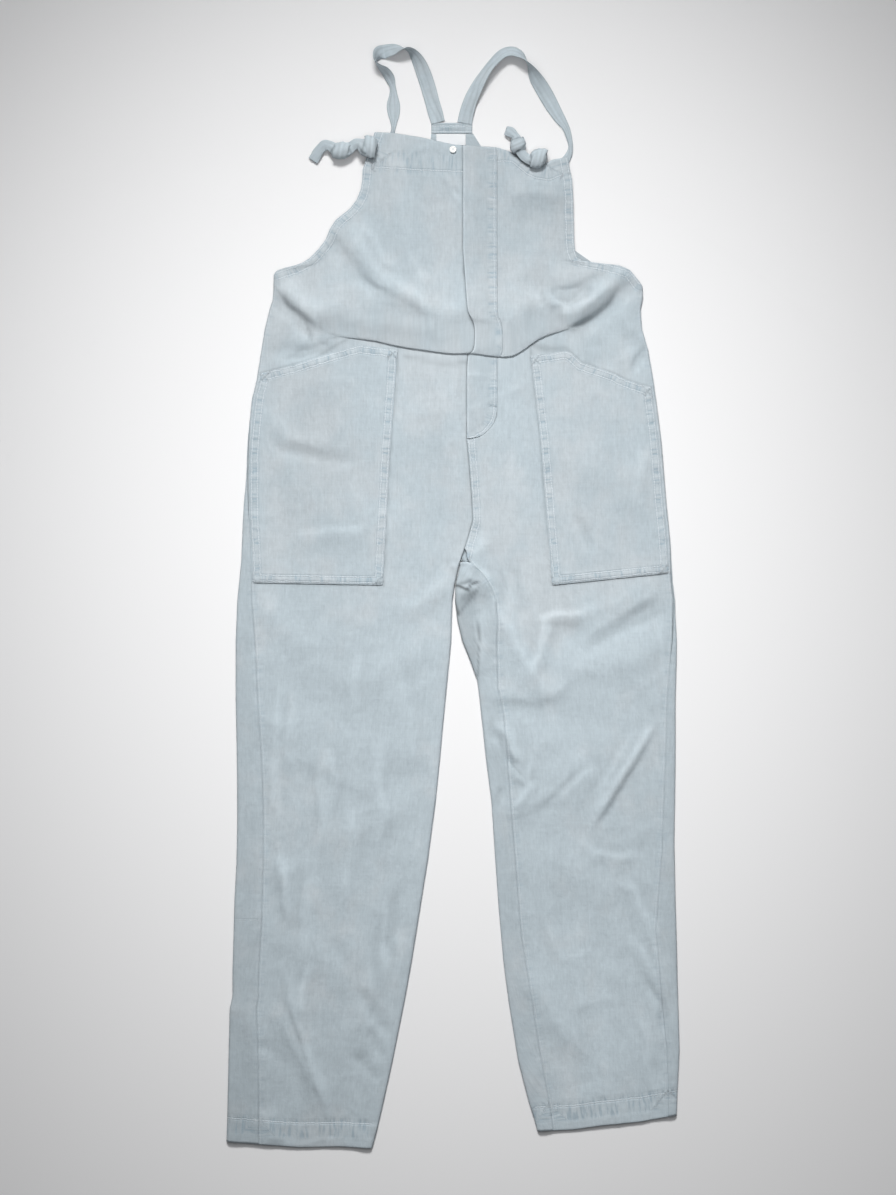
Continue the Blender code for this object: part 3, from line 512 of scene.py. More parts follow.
def row_point(x, row, hem, hem_y):
    """Y, the same y with the bib's overhang pulled straight, and the extra height on a row."""
    overhang = soft_read(x, "overhang")
    y = row + (1 - ease(BIB_TOP_Y - row, 0, TOP_SLANT_DEEP)) * (y_at(BIB_TOP, x) - BIB_TOP_Y)
    y = y + ease(-row, HEM_SLANT_FROM, HEM_SLANT_TO) * (y_at(hem, x) - hem_y)
    above = row - FOLD_Y
    near_fold = ease(85 - np.abs(above), 0, 60)
    shift = soft_read(x, "y") + overlap_half(overhang) - FOLD_Y
    y = y + near_fold * fold_follow(x) * shift
    straight = y
    y = y - np.where(np.abs(above) < FOLD_HALF, overhang * np.sin(math.pi * above / FOLD_HALF), 0)
    rise = read(FOLD_RISE, above, "above", "rise")
    return y, straight, rise * np.minimum(1.0, overhang / 16)


def placket_swing(x, row):
    """How far the placket and the cloth beside it swing aside just above the waist fold."""
    above = row - FOLD_Y
    return 9.5 * bell(x - 38, 30) * ease(above, 5, 20) * (1 - ease(above, 24, 46))


def solve_edge(edge_x, row, hem, hem_y):
    x = edge_x(row)
    for _ in range(12):
        y, _straight, _rise = row_point(x, row, hem, hem_y)
        x = edge_x(y)
    return x


def left_outer(y):
    return x_at(LEFT_OUTER, y)


def right_outer(y):
    return x_at(RIGHT_OUTER, y)


def left_inner(y):
    leg = x_at(LEFT_INNER_LEG, y) - STACK / 2
    return np.where(y > CROTCH_Y, x_at(CENTRE_LINE, y), leg)


def right_inner(y):
    leg = x_at(RIGHT_INNER_LEG, y) + STACK / 2
    return np.where(y > CROTCH_Y, x_at(CENTRE_LINE, y), leg)


def placket_edge(y):
    share = np.clip((PLACKET_STRAIGHT_Y - y) / (PLACKET_STRAIGHT_Y - PLACKET_FOOT_Y), 0, 1)
    inward = 1 - np.sqrt(1 - share * share)
    return mix(PLACKET_SEWN_X, x_at(CENTRE_LINE, y) + SEAM_GAP, inward)


def front_left_edges(row):
    outer = solve_edge(left_outer, row, LEFT_HEM, LEFT_HEM_Y)
    free = row > UNDERARM_LEFT_Y
    start = np.where(free, outer, outer + inset_at(LEFT_SIDE_SEAM, row) + TIGHT_GAP)
    underlap = UNDERLAP * (ease(row, 352, 380) + (1 - ease(row, 250, 278)) * ease(row, 212, 236))
    inner = solve_edge(left_inner, row, LEFT_HEM, LEFT_HEM_Y)
    beside_leg = ease(-row, -62, -48)
    body = row > CROTCH_Y
    end = np.where(body, inner - SEAM_GAP / 2 + underlap - STACK / 2 * beside_leg, inner - 2 * SEAM_GAP)
    return start, end, np.where(free, -FAR, outer), np.where(body, FAR, inner)


def front_right_edges(row):
    outer = solve_edge(right_outer, row, RIGHT_HEM, RIGHT_HEM_Y)
    free = row > UNDERARM_RIGHT_Y
    end = np.where(free, outer, outer - inset_at(RIGHT_SIDE_SEAM, row) - TIGHT_GAP)
    placket = solve_edge(placket_edge, row, RIGHT_HEM, RIGHT_HEM_Y) + SEAM_GAP
    seam = np.where(row > RIGHT_LEG_Y, x_at(CENTRE_LINE, row), x_at(RIGHT_INSEAM, row))
    start = np.where(row > PLACKET_FOOT_Y, placket, seam + TIGHT_GAP)
    return start, end, np.where(free, FAR, outer), np.full_like(row, -FAR)


def seam_fields(x, y, seams):
    """Distance, run and stitch rows of the nearest seam, and the strength of its stitches and puckers."""
    fields = {
        "seam_d": np.full_like(x, SEAM_FAR), "seam_s": np.zeros_like(x), "row_a": np.full_like(x, -40.0),
        "row_b": np.full_like(x, -40.0), "stitch": np.zeros_like(x), "pucker": np.zeros_like(x),
        "band": np.zeros_like(x),
    }
    best = np.full_like(x, SEAM_FAR)
    for seam in seams:
        signed, along = line_field(x, y, seam["line"])
        signed = signed * seam["side"]
        middle = (seam["row_a"] + seam["row_b"]) / 2
        outside = np.abs(signed - middle) - abs(seam["row_b"] - seam["row_a"]) / 2
        near = outside + seam["later"] < best
        best = np.where(near, outside + seam["later"], best)
        fields["seam_d"] = np.where(near, signed, fields["seam_d"])
        fields["seam_s"] = np.where(near, along, fields["seam_s"])
        for key in ("row_a", "row_b"):
            fields[key] = np.where(near, seam[key], fields[key])
        fields["stitch"] = np.where(near, seam["stitch"] * (1 - ease(outside, 3.5, 7.0)), fields["stitch"])
        low, high = seam["zone"]
        pucker = seam["rope"] * (1 - ease(np.maximum(low - signed, signed - high), -1.0, 4.0))
        fields["pucker"] = np.maximum(fields["pucker"], pucker)
        if seam["band"]:
            low, high = seam["band"]
            layer = ease(signed, low - 0.8, low + 0.4) * (1 - ease(signed, high - 0.4, high + 0.8))
            fields["band"] = np.maximum(fields["band"], layer * seam["thick"])
    return fields


def seam_relief(fields, seed):
    """Raised turnings and the puckers that washing leaves along a seam."""
    d, s = fields["seam_d"], fields["seam_s"]
    wave = 0.7 * noise(s / 8 + d * 0.03, d / 30, seed) + 0.45 * noise(s / 4.4 - d * 0.05, d / 20, seed + 1)
    return fields["band"] + 0.5 * fields["pucker"] * wave


def contact_shadow(x, y, lines, wide, amount):
    """Painted shadow on cloth close beside the edge of a piece that lies on it."""
    best = np.full_like(x, FAR)
    for line in lines:
        best = np.minimum(best, np.abs(line_field(x, y, line)[0]))
    return 1 - amount * bell(best, wide)


def build_grid(name, x, y, z, attributes, uv, closed_ring=False):
    """A grid of points in millimetres as a mesh with point attributes and a cloth map in metres."""
    rows, cols = x.shape
    points = np.stack([x, y, z], axis=-1).reshape(-1, 3) * MM
    index = np.arange(rows * cols).reshape(rows, cols)
    if closed_ring:
        index = np.concatenate([index, index[:, :1]], axis=1)
    a, b, c, d = index[:-1, :-1], index[:-1, 1:], index[1:, 1:], index[1:, :-1]
    faces = np.stack([a, d, c, b], axis=-1).reshape(-1, 4)
    if closed_ring:
        p, q, r = (points[faces[:, k]] for k in range(3))
        inward = float((p * np.cross(q, r)).sum()) < float((p.mean(axis=0) * np.cross(q - p, r - p)).sum())
        faces = faces[:, ::-1] if inward else faces
    mesh = bpy.data.meshes.new(name)
    mesh.from_pydata(points.tolist(), [], faces.tolist())
    mesh.update()
    for key, values in attributes.items():
        layer = mesh.attributes.new(key, "FLOAT", "POINT")
        layer.data.foreach_set("value", np.ascontiguousarray(values.reshape(-1), dtype=np.float32))
    loops = np.empty(len(mesh.loops), dtype=np.int32)
    mesh.loops.foreach_get("vertex_index", loops)
    flat_uv = np.stack([uv[0].reshape(-1), uv[1].reshape(-1)], axis=-1) * MM
    spread = flat_uv[loops]
    if closed_ring:
        step = spread.reshape(-1, 4, 2)
        wide = float(uv[0].max() - uv[0].min()) * MM
        wraps = (step[:, :, 0].max(axis=1) - step[:, :, 0].min(axis=1)) > wide / 2
        low = step[:, :, 0] < wide / 2
        step[:, :, 0] += np.where(wraps[:, None] & low, wide * cols / (cols - 1), 0.0)
        spread = step.reshape(-1, 2)
    layer = mesh.uv_layers.new(name="grain")
    layer.data.foreach_set("uv", np.ascontiguousarray(spread.reshape(-1), dtype=np.float32))
    mesh.shade_smooth()
    piece = bpy.data.objects.new(name, mesh)
    bpy.context.scene.collection.objects.link(piece)
    return piece


def clothe(piece, material, thickness=CLOTH, offset=0):
    """Gives a grid its wall and its material."""
    wall = piece.modifiers.new("Cloth", "SOLIDIFY")
    wall.thickness = thickness * MM
    wall.offset = offset
    piece.data.materials.append(material)
    return piece


class Nodes:
    """Short ways to wire a material's nodes."""

    def __init__(self, name):
        self.material = bpy.data.materials.new(name)
        self.material.use_nodes = True
        self.tree = self.material.node_tree
        self.shader = self.tree.nodes["Principled BSDF"]

    def link(self, source, socket):
        self.tree.links.new(source, socket)

    def add(self, kind):
        return self.tree.nodes.new("ShaderNode" + kind)

    def fill(self, sockets, values):
        """Sets each socket to a number or colour, or links it to another node."""
        for socket, value in zip(sockets, values):
            if isinstance(value, (int, float)):
                socket.default_value = value
            elif isinstance(value, tuple):
                socket.default_value = (*value, 1)
            else:
                self.link(value, socket)

    def math(self, kind, a, b=0.0, c=0.0):
        node = self.add("Math")
        node.operation = kind
        self.fill(node.inputs, (a, b, c))
        return node.outputs[0]

    def times(self, a, b):
        return self.math("MULTIPLY", a, b)

    def times_plus(self, a, b, c):
        return self.math("MULTIPLY_ADD", a, b, c)

    def minus(self, a, b):
        return self.math("SUBTRACT", a, b)

    def over(self, a, b):
        return self.math("DIVIDE", a, b)

    def step(self, value, low, high):
        """0 at low, 1 at high, smooth between."""
        node = self.add("MapRange")
        node.interpolation_type = "SMOOTHSTEP"
        node.inputs["From Min"].default_value = low
        node.inputs["From Max"].default_value = high
        self.link(value, node.inputs["Value"])
        return node.outputs[0]

    def attribute(self, name):
        node = self.add("Attribute")
        node.attribute_name = name
        return node.outputs["Fac"]

    def vector(self, x, y, z=0.0):
        node = self.add("CombineXYZ")
        self.fill(node.inputs, (x, y, z))
        return node.outputs[0]

    def noise(self, vector, detail=2.0, rough=0.5):
        node = self.add("TexNoise")
        node.inputs["Scale"].default_value = 1.0
        node.inputs["Detail"].default_value = detail
        node.inputs["Roughness"].default_value = rough
        self.link(vector, node.inputs["Vector"])
        return node.outputs["Fac"]

    def mix(self, share, a, b):
        node = self.add("Mix")
        node.data_type = "RGBA"
        self.fill((node.inputs[0], node.inputs[6], node.inputs[7]), (share, a, b))
        return node.outputs[2]

    def scaled(self, colour, factor):
        node = self.add("VectorMath")
        node.operation = "SCALE"
        self.link(colour, node.inputs[0])
        self.link(factor, node.inputs["Scale"])
        return node.outputs[0]


BLUE = (0.391, 0.450, 0.487)
GREY = (0.418, 0.461, 0.490)
DEEP = (0.220, 0.300, 0.360)
THREAD = (0.560, 0.605, 0.635)


def denim(name, blue=BLUE, grey=GREY, seams=True):
    """Pale washed twill: slub streaks along the grain, blotches, and stitched, puckered seams."""
    n = Nodes(name)
    grain = n.add("UVMap")
    grain.uv_map = "grain"
    parts = n.add("SeparateXYZ")
    n.link(grain.outputs[0], parts.inputs[0])
    u = n.times(parts.outputs[0], 1000.0)
    v = n.times(parts.outputs[1], 1000.0)

    def streak(wide, tall, detail=2.0, shift=0.0):
        return n.noise(n.vector(n.over(u, wide), n.over(v, tall), shift), detail)

    fine, slub, fleck = streak(1.0, 16, 3, 1.5), streak(4.5, 60, 2, 4.5), streak(2.6, 7, 2, 27.5)
    weft, blotch, wide = streak(22, 1.5, 2, 7.5), streak(26, 34, 4, 9.5), streak(90, 120, 2, 12.5)
    mottle = streak(5.5, 6.5, 3, 21.5)
    tint = n.math("ADD", n.times(wide, 0.55), n.times(blotch, 0.45))
    tint = n.step(n.times_plus(n.attribute("wash"), -0.1, tint), 0.38, 0.62)
    colour = n.mix(tint, blue, grey)
    light = 1.0
    contrasts = ((fine, 0.18), (slub, 0.09), (fleck, 0.17), (weft, 0.09), (blotch, 0.07), (mottle, 0.10))
    for value, amount in contrasts:
        light = n.times_plus(value, amount, n.math("ADD", light, -amount / 2))
    # The points' tone holds the wash and the painted light and shade of each piece
    light = n.times(light, n.attribute("tone_and_shade"))
    colour = n.scaled(colour, light)

    twill = n.math("SINE", n.times(n.times_plus(v, 0.62, u), 6.8))
    height = n.times(twill, 0.05)
    height = n.times_plus(fine, 0.12, height)
    height = n.times_plus(mottle, 0.45, height)
    height = n.times_plus(streak(12, 20, 2, 18.5), 0.8, height)
    if seams:
        d, s = n.attribute("seam_d"), n.attribute("seam_s")
        stitch, pucker = n.attribute("stitch"), n.attribute("pucker")
        sway = n.noise(n.vector(n.over(s, 6.5), n.over(d, 90.0), 6.1), 2.0)
        d = n.times_plus(n.times(n.minus(sway, 0.5), pucker), 3.4, d)
        off_a = n.math("ABSOLUTE", n.minus(d, n.attribute("row_a")))
        off_b = n.math("ABSOLUTE", n.minus(d, n.attribute("row_b")))
        off = n.math("MINIMUM", off_a, off_b)
        line = n.minus(1.0, n.step(off, 0.35, 1.05))
        dash = n.math("ABSOLUTE", n.minus(n.math("FRACT", n.over(s, STITCH_PITCH)), 0.5))
        thread = n.times(line, n.minus(1.0, n.times(n.step(dash, 0.32, 0.46), 0.6)))
        thread = n.times(thread, stitch)
        # Painted shade: each row of stitches sits in a darker groove
        groove = n.times(n.minus(1.0, n.step(off, 0.6, 2.6)), stitch)
        ripple = n.noise(n.vector(n.over(s, 3.6), n.over(d, 26.0), 3.3), 2.0)
        dark = n.times(pucker, n.step(ripple, 0.50, 0.66))
        pale = n.times(pucker, n.minus(1.0, n.step(ripple, 0.34, 0.48)))
        colour = n.mix(n.times(dark, 0.52), colour, DEEP)
        colour = n.mix(n.times(groove, 0.20), colour, DEEP)
        colour = n.mix(n.times(pale, 0.20), colour, THREAD)
        colour = n.mix(n.times(thread, 0.62), colour, THREAD)
        height = n.times_plus(thread, 0.4, height)
        height = n.times_plus(groove, -0.35, height)
        height = n.times_plus(n.times(pucker, ripple), -0.9, height)
    bump = n.add("Bump")
    bump.inputs["Strength"].default_value = 0.8
    bump.inputs["Distance"].default_value = 0.001
    n.link(height, bump.inputs["Height"])
    n.link(bump.outputs[0], n.shader.inputs["Normal"])
    n.link(colour, n.shader.inputs["Base Color"])
    n.link(n.times_plus(blotch, 0.1, 0.84), n.shader.inputs["Roughness"])
    n.shader.inputs["Sheen Weight"].default_value = 0.08
    n.shader.inputs["Sheen Roughness"].default_value = 0.5
    n.shader.inputs["Specular IOR Level"].default_value = 0.15
    return n.material


# Broad lighter and darker places, partly the wash and partly painted light and shade where the cloth slopes
# away from the light or lies in a crease: an amount added to a tone of 1
WASH_AND_SHADE_TONES = (
    ("x", "y", "reach_x", "reach_y", "amount"),
    (105, 470, 70, 90, -0.05), (110, 380, 80, 40, -0.03), (-30, 250, 60, 70, 0.03), (-40, 470, 70, 80, -0.04),
    (-190, 240, 60, 90, -0.03), (-240, 350, 40, 60, -0.05), (40, 480, 18, 90, -0.03),
    (-90, 380, 50, 40, -0.04), (-160, -600, 120, 160, 0.03), (200, -580, 130, 180, 0.18),
    (-165, 150, 70, 120, -0.09), (-20, 180, 60, 110, -0.06), (170, 120, 70, 110, -0.04),
    (-150, -110, 90, 100, -0.04), (160, -100, 80, 110, 0.04), (-110, 340, 60, 40, -0.03),
    (150, 475, 70, 34, -0.07),
    (-262, -300, 16, 400, -0.03), (-260, -660, 60, 60, -0.04),
)


# Wash and painted light and shade from the table above, with wear that is paler on raised creases than in
# their hollows
def tone_and_shade(x, y):
    total = np.ones_like(x)
    for cx, cy, rx, ry, amount in WASH_AND_SHADE_TONES[1:]:
        total += amount * np.exp(-((x - cx) / rx) ** 2 - ((y - cy) / ry) ** 2)
    return total + 0.06 * np.clip(between(WEAR, x, y) / 0.8, -1, 1)


def spaced(low, high, step):
    count = max(1, round(abs(high - low) / step))
    return [low + (high - low) * i / count for i in range(count)]


def front_rows(hem_y):
    rows = spaced(BIB_TOP_Y, 552, 1.1) + spaced(552, 352, 3.0) + spaced(352, 278, 1.5)
    rows += spaced(278, 238, 3.0) + spaced(238, 199, 2.0) + [199, 198, 197.2, 196.6, 196.1]
    rows += spaced(195.6, hem_y + LEG_HEM_DEEP + 3, 3.05) + spaced(hem_y + LEG_HEM_DEEP + 3, hem_y + 3, 2.0)
    return np.array(rows + spaced(hem_y + 3, hem_y, 1.0) + [hem_y])


FRONT_EDGE = (0, 0.5, 1.2, 2.1, 3.2, 4.5, 6.0, 7.8, 9.8, 12.2, 15)
POCKET_EDGE = (0, 0.6, 1.4, 2.4, 3.6, 5, 6.6, 8.4, 10.4, 13, 16.5)


def shares_across(edge, start, size, step):
    """Shares of a size: close together by both edges, and evenly spaced from start between them."""
    middle = spaced(start, size - edge[-1], step)
    low, high = [e / size for e in edge], [1 - e / size for e in edge[::-1]]
    return np.array(low + [m / size for m in middle] + high)


def outline_run(table, low, high, step=8.0):
    """Points along an outline that is given as x over y, from low to high."""
    ys = np.array(spaced(low, high, step) + [high])
    return list(zip(x_at(table, ys).tolist(), ys.tolist()))


def shifted(table, seam, side, low, high):
    ys = np.array(spaced(low, high, 10) + [high])
    xs = x_at(table, ys) + side * inset_at(seam, ys)
    return list(zip(xs.tolist(), ys.tolist()))


def seam(line, side, row_a, row_b, rope, band=None, thick=0.35, later=0.0, zone=None, stitch=1.0):
    """Rows, zone of puckers and raised band are distances from the line, on the side that it names."""
    zone = zone or (min(row_a, row_b) - 0.5, max(row_a, row_b) + 0.5)
    return {"line": line, "side": side, "row_a": row_a, "row_b": row_b, "rope": rope, "band": band,
            "thick": thick, "later": later, "zone": zone, "stitch": stitch}


def hem_run(hem, deep):
    return [(x, y + deep) for x, y in hem[1:]]


LEFT_TOP_STITCH = [(-112, 537), (-97.5, 534.4), (-60, 532), (2.5, 529.4), (20, 529)]
RIGHT_TOP_STITCH = [
    (10, 547), (51.25, 541.9), (72.5, 541.9), (79.4, 536.9), (92.5, 525.6), (103.75, 520.6),
    (121.25, 518.1), (128.75, 521.9), (150, 530),
]
PLACKET_STITCH = [(51.6, 570), (51.2, 470), (51.5, 400), (52.5, 300), (51.6, 236)]
PLACKET_FOOT = [(51.6, 236), (50.5, 226), (46, 214), (38, 205), (28, 199), (18, 196)]
CROTCH_SEAM = [(17.5, 196), (20, 169), (23.5, 124), (25, 94), (18, 69), (14, 52)]
# How every line of stitches along a side seam looks
SIDE_SEAM = {"row_a": 2.2, "row_b": 2.2, "rope": 0.35, "band": (-1, 3.2), "stitch": 0.4, "zone": (0, 6)}
LEFT_SEAMS = [
    seam(outline_run(LEFT_OUTER, 404, 580), -1, 2.0, 9.5, 0.9, (-1, 10.5)),
    seam(LEFT_TOP_STITCH, 1, 0.0, 0.0, 0.7, (0, 60), 0.4, zone=(-4, 20)),
    seam(shifted(LEFT_OUTER, LEFT_SIDE_SEAM, 1, -692, 398), -1, **SIDE_SEAM),
    seam(hem_run(LEFT_HEM, LEG_HEM_DEEP), 1, 0.0, 0.0, 0.85, None, 0.0, zone=(-17, 3.5)),
    seam(hem_run(LEFT_HEM, 1.0), 1, -20.0, -20.0, 0.0, (-4, 29), 0.5, 40, stitch=0.0),
]
RIGHT_SEAMS = [
    seam(outline_run(RIGHT_OUTER, 390, 548), 1, 2.0, 9.5, 0.9, (-1, 10.5)),
    seam(RIGHT_TOP_STITCH, 1, 0.0, 0.0, 0.7, (0, 40), 0.4, zone=(-2, 16)),
    seam(shifted(RIGHT_OUTER, RIGHT_SIDE_SEAM, -1, -670, 384), 1, **SIDE_SEAM),
    seam(hem_run(RIGHT_HEM, LEG_HEM_DEEP), 1, 0.0, 0.0, 0.85, None, 0.0, zone=(-17, 3.5)),
    seam(hem_run(RIGHT_HEM, 1.0), 1, -20.0, -20.0, 0.0, (-4, 29), 0.5, 40, stitch=0.0),
    seam(CROTCH_SEAM, 1, 2.0, 8.5, 0.9, (-1, 9.5)),
    seam(outline_run(RIGHT_INSEAM, -670, 52), -1, 2.2, 2.2, 0.4, (-1, 3.4), stitch=0.6, zone=(0, 6)),
]


def grain_u(x, y, lean):
    return x + lean * np.maximum(0, 20 - y) - lean * 20


LEFT_POCKET_TOP = (("x", "y"), (-241, 277), (-197, 288.5), (-156, 301.5), (-118, 312.5), (-69, 306.5))
LEFT_POCKET_BOTTOM = (("x", "y"), (-251, 16), (-87, 13))
LEFT_POCKET_INNER = (("y", "x"), (13, -87.5), (169, -79), (310, -69))
RIGHT_POCKET_TOP = (
    ("x", "y"), (97, 299), (141, 305), (148, 302.5), (161, 290.5), (199, 278), (217, 269), (252, 258),
)
RIGHT_POCKET_BOTTOM = (("x", "y"), (124, 13), (270, 28))
RIGHT_POCKET_INNER = (("y", "x"), (13, 124), (194, 109), (298, 97))
POCKET_EDGES = [
    list(LEFT_POCKET_BOTTOM[1:]), list(RIGHT_POCKET_BOTTOM[1:]), list(LEFT_POCKET_TOP[1:]),
    list(RIGHT_POCKET_TOP[1:]), [(-87.5, 13), (-79, 169), (-69, 306)], [(124, 13), (109, 194), (97, 299)],
]


def build_front(name, edges, hem, hem_y, seams, lean, seed):
    rows = front_rows(hem_y)
    shares = shares_across(FRONT_EDGE, 18.2, FRONT_WIDE, 3.3)
    start, end, outer, inner = (value[:, None] for value in edges(rows))
    row = np.repeat(rows[:, None], len(shares), axis=1)
    x = start + (end - start) * shares[None, :]
    y, straight, rise = row_point(x, row, hem, hem_y)
    fields = seam_fields(x, straight, seams)
    z = top_height(x, y, outer, inner) + rise + seam_relief(fields, seed)
    x = x + placket_swing(x, row)
    end_fall = bell(np.maximum(0, row - hem_y), 1.4) + bell(np.maximum(0, BIB_TOP_Y - row), 1.6)
    wide = shares * (end - start)
    side_fall = bell(wide, 1.1) + bell(end - start - wide, 1.1)
    z = z - 0.45 * end_fall - 0.35 * side_fall
    # Painted shadow on the front beside the pockets' edges
    fields["tone_and_shade"] = tone_and_shade(x, y) * contact_shadow(x, straight, POCKET_EDGES, 1.8, 0.22)
    # On the left front, a painted shadow along the placket's edge, deeper and wider where the edge stands off
    if end[0, 0] < PLACKET_SEWN_X:
        gape = sum(amount * bell(y - middle, reach) for middle, reach, amount in PLACKET_GAPS[1:])
        off = np.maximum(0, x_at(CENTRE_LINE, y) + placket_swing(x, row) - x)
        fields["tone_and_shade"] = fields["tone_and_shade"] * (1 - (0.42 + 0.32 * gape) * bell(off, 1.5 + 1.3 * gape))
    # Painted shade in the narrow gaps at the bib's corners and folds
    fields["tone_and_shade"] = fields["tone_and_shade"] * gap_shade(x, y, BIB_GAPS)
    fields["wash"] = ease(-y, -60, 160) + 0 * x
    piece = build_grid(name, x, y, z, fields, (grain_u(x, straight, lean), straight))
    return clothe(piece, denim(name + "_denim"))


def build_placket():
    rows = front_rows(RIGHT_HEM_Y)
    foot_rows = spaced(236, 199, 1.6) + [199, 198, 197.2, 196.6, 196.15]
    rows = np.concatenate([rows[rows > 236], np.array(foot_rows)])
    start = (solve_edge(right_inner, rows, RIGHT_HEM, RIGHT_HEM_Y) + SEAM_GAP / 2)[:, None]
    end = solve_edge(placket_edge, rows, RIGHT_HEM, RIGHT_HEM_Y)[:, None]
    shares = np.array([0, 0.02, 0.05, 0.09, 0.14, 0.2, 0.27, 0.35, 0.43, 0.51, 0.59, 0.67, 0.74, 0.8, 0.86,
                       0.91, 0.95, 0.98, 1])
    row = np.repeat(rows[:, None], len(shares), axis=1)
    x = start + (end - start) * shares[None, :]
    y, straight, rise = row_point(x, row, RIGHT_HEM, RIGHT_HEM_Y)
    over = (1 - ease(x - start, 9, 30)) * (1 - ease(36 - np.abs(row - FOLD_Y), 0, 8))
    fields = seam_fields(x, straight, [
        seam(PLACKET_STITCH, -1, 0.0, 0.0, 0.9, None, zone=(-2, 6), stitch=0.7),
        seam(PLACKET_FOOT, -1, 0.0, 0.0, 0.8, None, zone=(-1, 6)),
    ])
    z = front_height(x, y) + rise + STACK * over + seam_relief(fields, 31)
    z = z + 0.5 * bell(x - start - 2.2, 1.6) * over
    z = z - 0.5 * bell(x - start, 1.2) - 0.2 * bell(end - x, 1.1)
    z = z - 0.45 * bell(BIB_TOP_Y - row, 1.6)
    # Painted highlight along the placket's folded edge
    fields["tone_and_shade"] = tone_and_shade(x, y) * (1 + 0.26 * bell(x - start - 0.6, 0.9)) * 0.97
    x = x + placket_swing(x, row)
    piece = build_grid("front_placket_cloth", x, y, z, fields, (x + 400, straight))
    return clothe(piece, denim("placket_denim"))


def back_part(name, side, seams, lean, seed):
    """One back: over the side edge, flat below, and over the inner edge, as wide as its solid."""
    left = side < 0
    outer_table, armhole = (LEFT_OUTER, LEFT_BACK_ARMHOLE) if left else (RIGHT_OUTER, RIGHT_BACK_ARMHOLE)
    seam_table = LEFT_SIDE_SEAM if left else RIGHT_SIDE_SEAM
    underarm = UNDERARM_LEFT_Y if left else UNDERARM_RIGHT_Y
    hem, hem_y = (LEFT_HEM, LEFT_HEM_Y) if left else (RIGHT_HEM, RIGHT_HEM_Y)
    rows = np.array(
        spaced(577, underarm, 4) + spaced(underarm - 0.2, 70, 4) + spaced(70, -34, 1.7)
        + spaced(-34, -110, 2.6) + spaced(-110, hem_y + 33, 4) + spaced(hem_y + 33, hem_y, 3) + [hem_y]
    )
    inward = -side
    lines = []
    edge_x = left_outer if left else right_outer
    outer_x = solve_edge(edge_x, rows, hem, hem_y)
    inner_x = solve_edge(left_inner if left else right_inner, rows, hem, hem_y)
    insets = inset_at(seam_table, rows)
    arm_x = x_at(armhole, rows)
    centres = x_at(BACK_CENTRE, rows) + side * SEAM_GAP / 2
    inseams = x_at(RIGHT_INSEAM, rows)
    over_steps = [1 - i / 13 for i in range(14)]
    under_steps = [(i / 5) ** 1.6 for i in range(1, 6)]
    count = len(over_steps) + len(under_steps)

    def heights(xs, y, outer, inner):
        return top_height(np.array(xs), np.full(len(xs), y), np.full(len(xs), outer), np.full(len(xs), inner))

    for i, y in enumerate(rows):
        line = []
        if y > underarm:
            line += [(arm_x[i] + inward * step, BACK_Z) for step in np.linspace(0, 8, count)]
        else:
            edge, inset = outer_x[i], insets[i]
            on_top = float(ease(np.array(inset), 1, 8))
            edge_height = float(front_height(np.array([edge]), np.array([y]))[0])
            nears = [inset * step ** 1.25 for step in over_steps] + [EDGE_ROUND_LOW * s for s in under_steps]
            tops = heights([edge + inward * near for near in nears[:len(over_steps)]], y, edge, inward * FAR)
            for step, near in enumerate(nears):
                if step < len(over_steps):
                    height = float(tops[step])
                else:
                    height = float(under_height(near, edge_height))
                under_near, under = quarter_round(0.08 + 0.92 * step / (count - 1), edge_height)
                line.append((edge + inward * mix(under_near, near, on_top), mix(under, height, on_top)))
        first = line[-1][0]
        flat_count, last_count = 22, 20
        if y > CROTCH_Y + 4:
            stand = 0.0 if left else 1 - float(ease(np.array(y), CROTCH_Y + 8, CROTCH_Y + 32))
            last = []
            for k in range(last_count):
                share = k / (last_count - 1)
                flat_x = 14 * (1 - share)
                stand_x = 0.6 + 5.4 * (1 - share) ** 1.8
                lift = 1.9 * max(0.0, share - 0.35) / 0.65
                from_centre = -flat_x if left else mix(flat_x, stand_x, stand)
                last.append((centres[i] + from_centre, BACK_Z + lift * stand))
            line += [(mix(first, last[0][0], k / flat_count), BACK_Z) for k in range(1, flat_count)] + last
        else:
            inner = inner_x[i]
            flat_end = inner - inward * EDGE_ROUND_LOW
            line += [(mix(first, flat_end, k / flat_count), BACK_Z) for k in range(1, flat_count)]
            edge_height = float(front_height(np.array([inner]), np.array([y]))[0])
            if left:
                for k in range(last_count):
                    near, height = quarter_round(1 - 0.92 * k / (last_count - 1), edge_height)
                    line.append((inner - inward * near, height))
            else:
                lows = [EDGE_ROUND_LOW * (1 - k / 5) ** 1.6 for k in range(5)]
                line += [(inner - inward * near, float(under_height(near, edge_height))) for near in lows]
                steps = [(k / (last_count - 6)) ** 1.25 for k in range(last_count - 5)]
                xs = [mix(inner, inseams[i], step) for step in steps]
                line += list(zip(xs, heights(xs, y, -FAR, inner).tolist()))
        lines.append(line)
    x = np.array([[p[0] for p in line] for line in lines])
    z = np.array([[p[1] for p in line] for line in lines])
    row = np.repeat(rows[:, None], x.shape[1], axis=1)
    y = row + ease(-row, HEM_SLANT_FROM, HEM_SLANT_TO) * (y_at(hem, x) - hem_y)
    lengths = np.hypot(np.diff(x, axis=1), np.diff(z, axis=1))
    along = np.concatenate([np.zeros((len(rows), 1)), np.cumsum(lengths, axis=1)], axis=1)
    fields = seam_fields(x, y, seams)
    over_top = ease(z, 1.2, 2.6)
    z = z + seam_relief(fields, seed) * over_top
    broad, narrow = noise(x / 60, y / 34, seed), noise(x / 24, y / 15, seed + 2)
    lifted = 0.35 * np.maximum(0, broad) + 0.25 * np.maximum(0, narrow)
    z = z + lifted * (1 - ease(z, 0.4, 1.0))
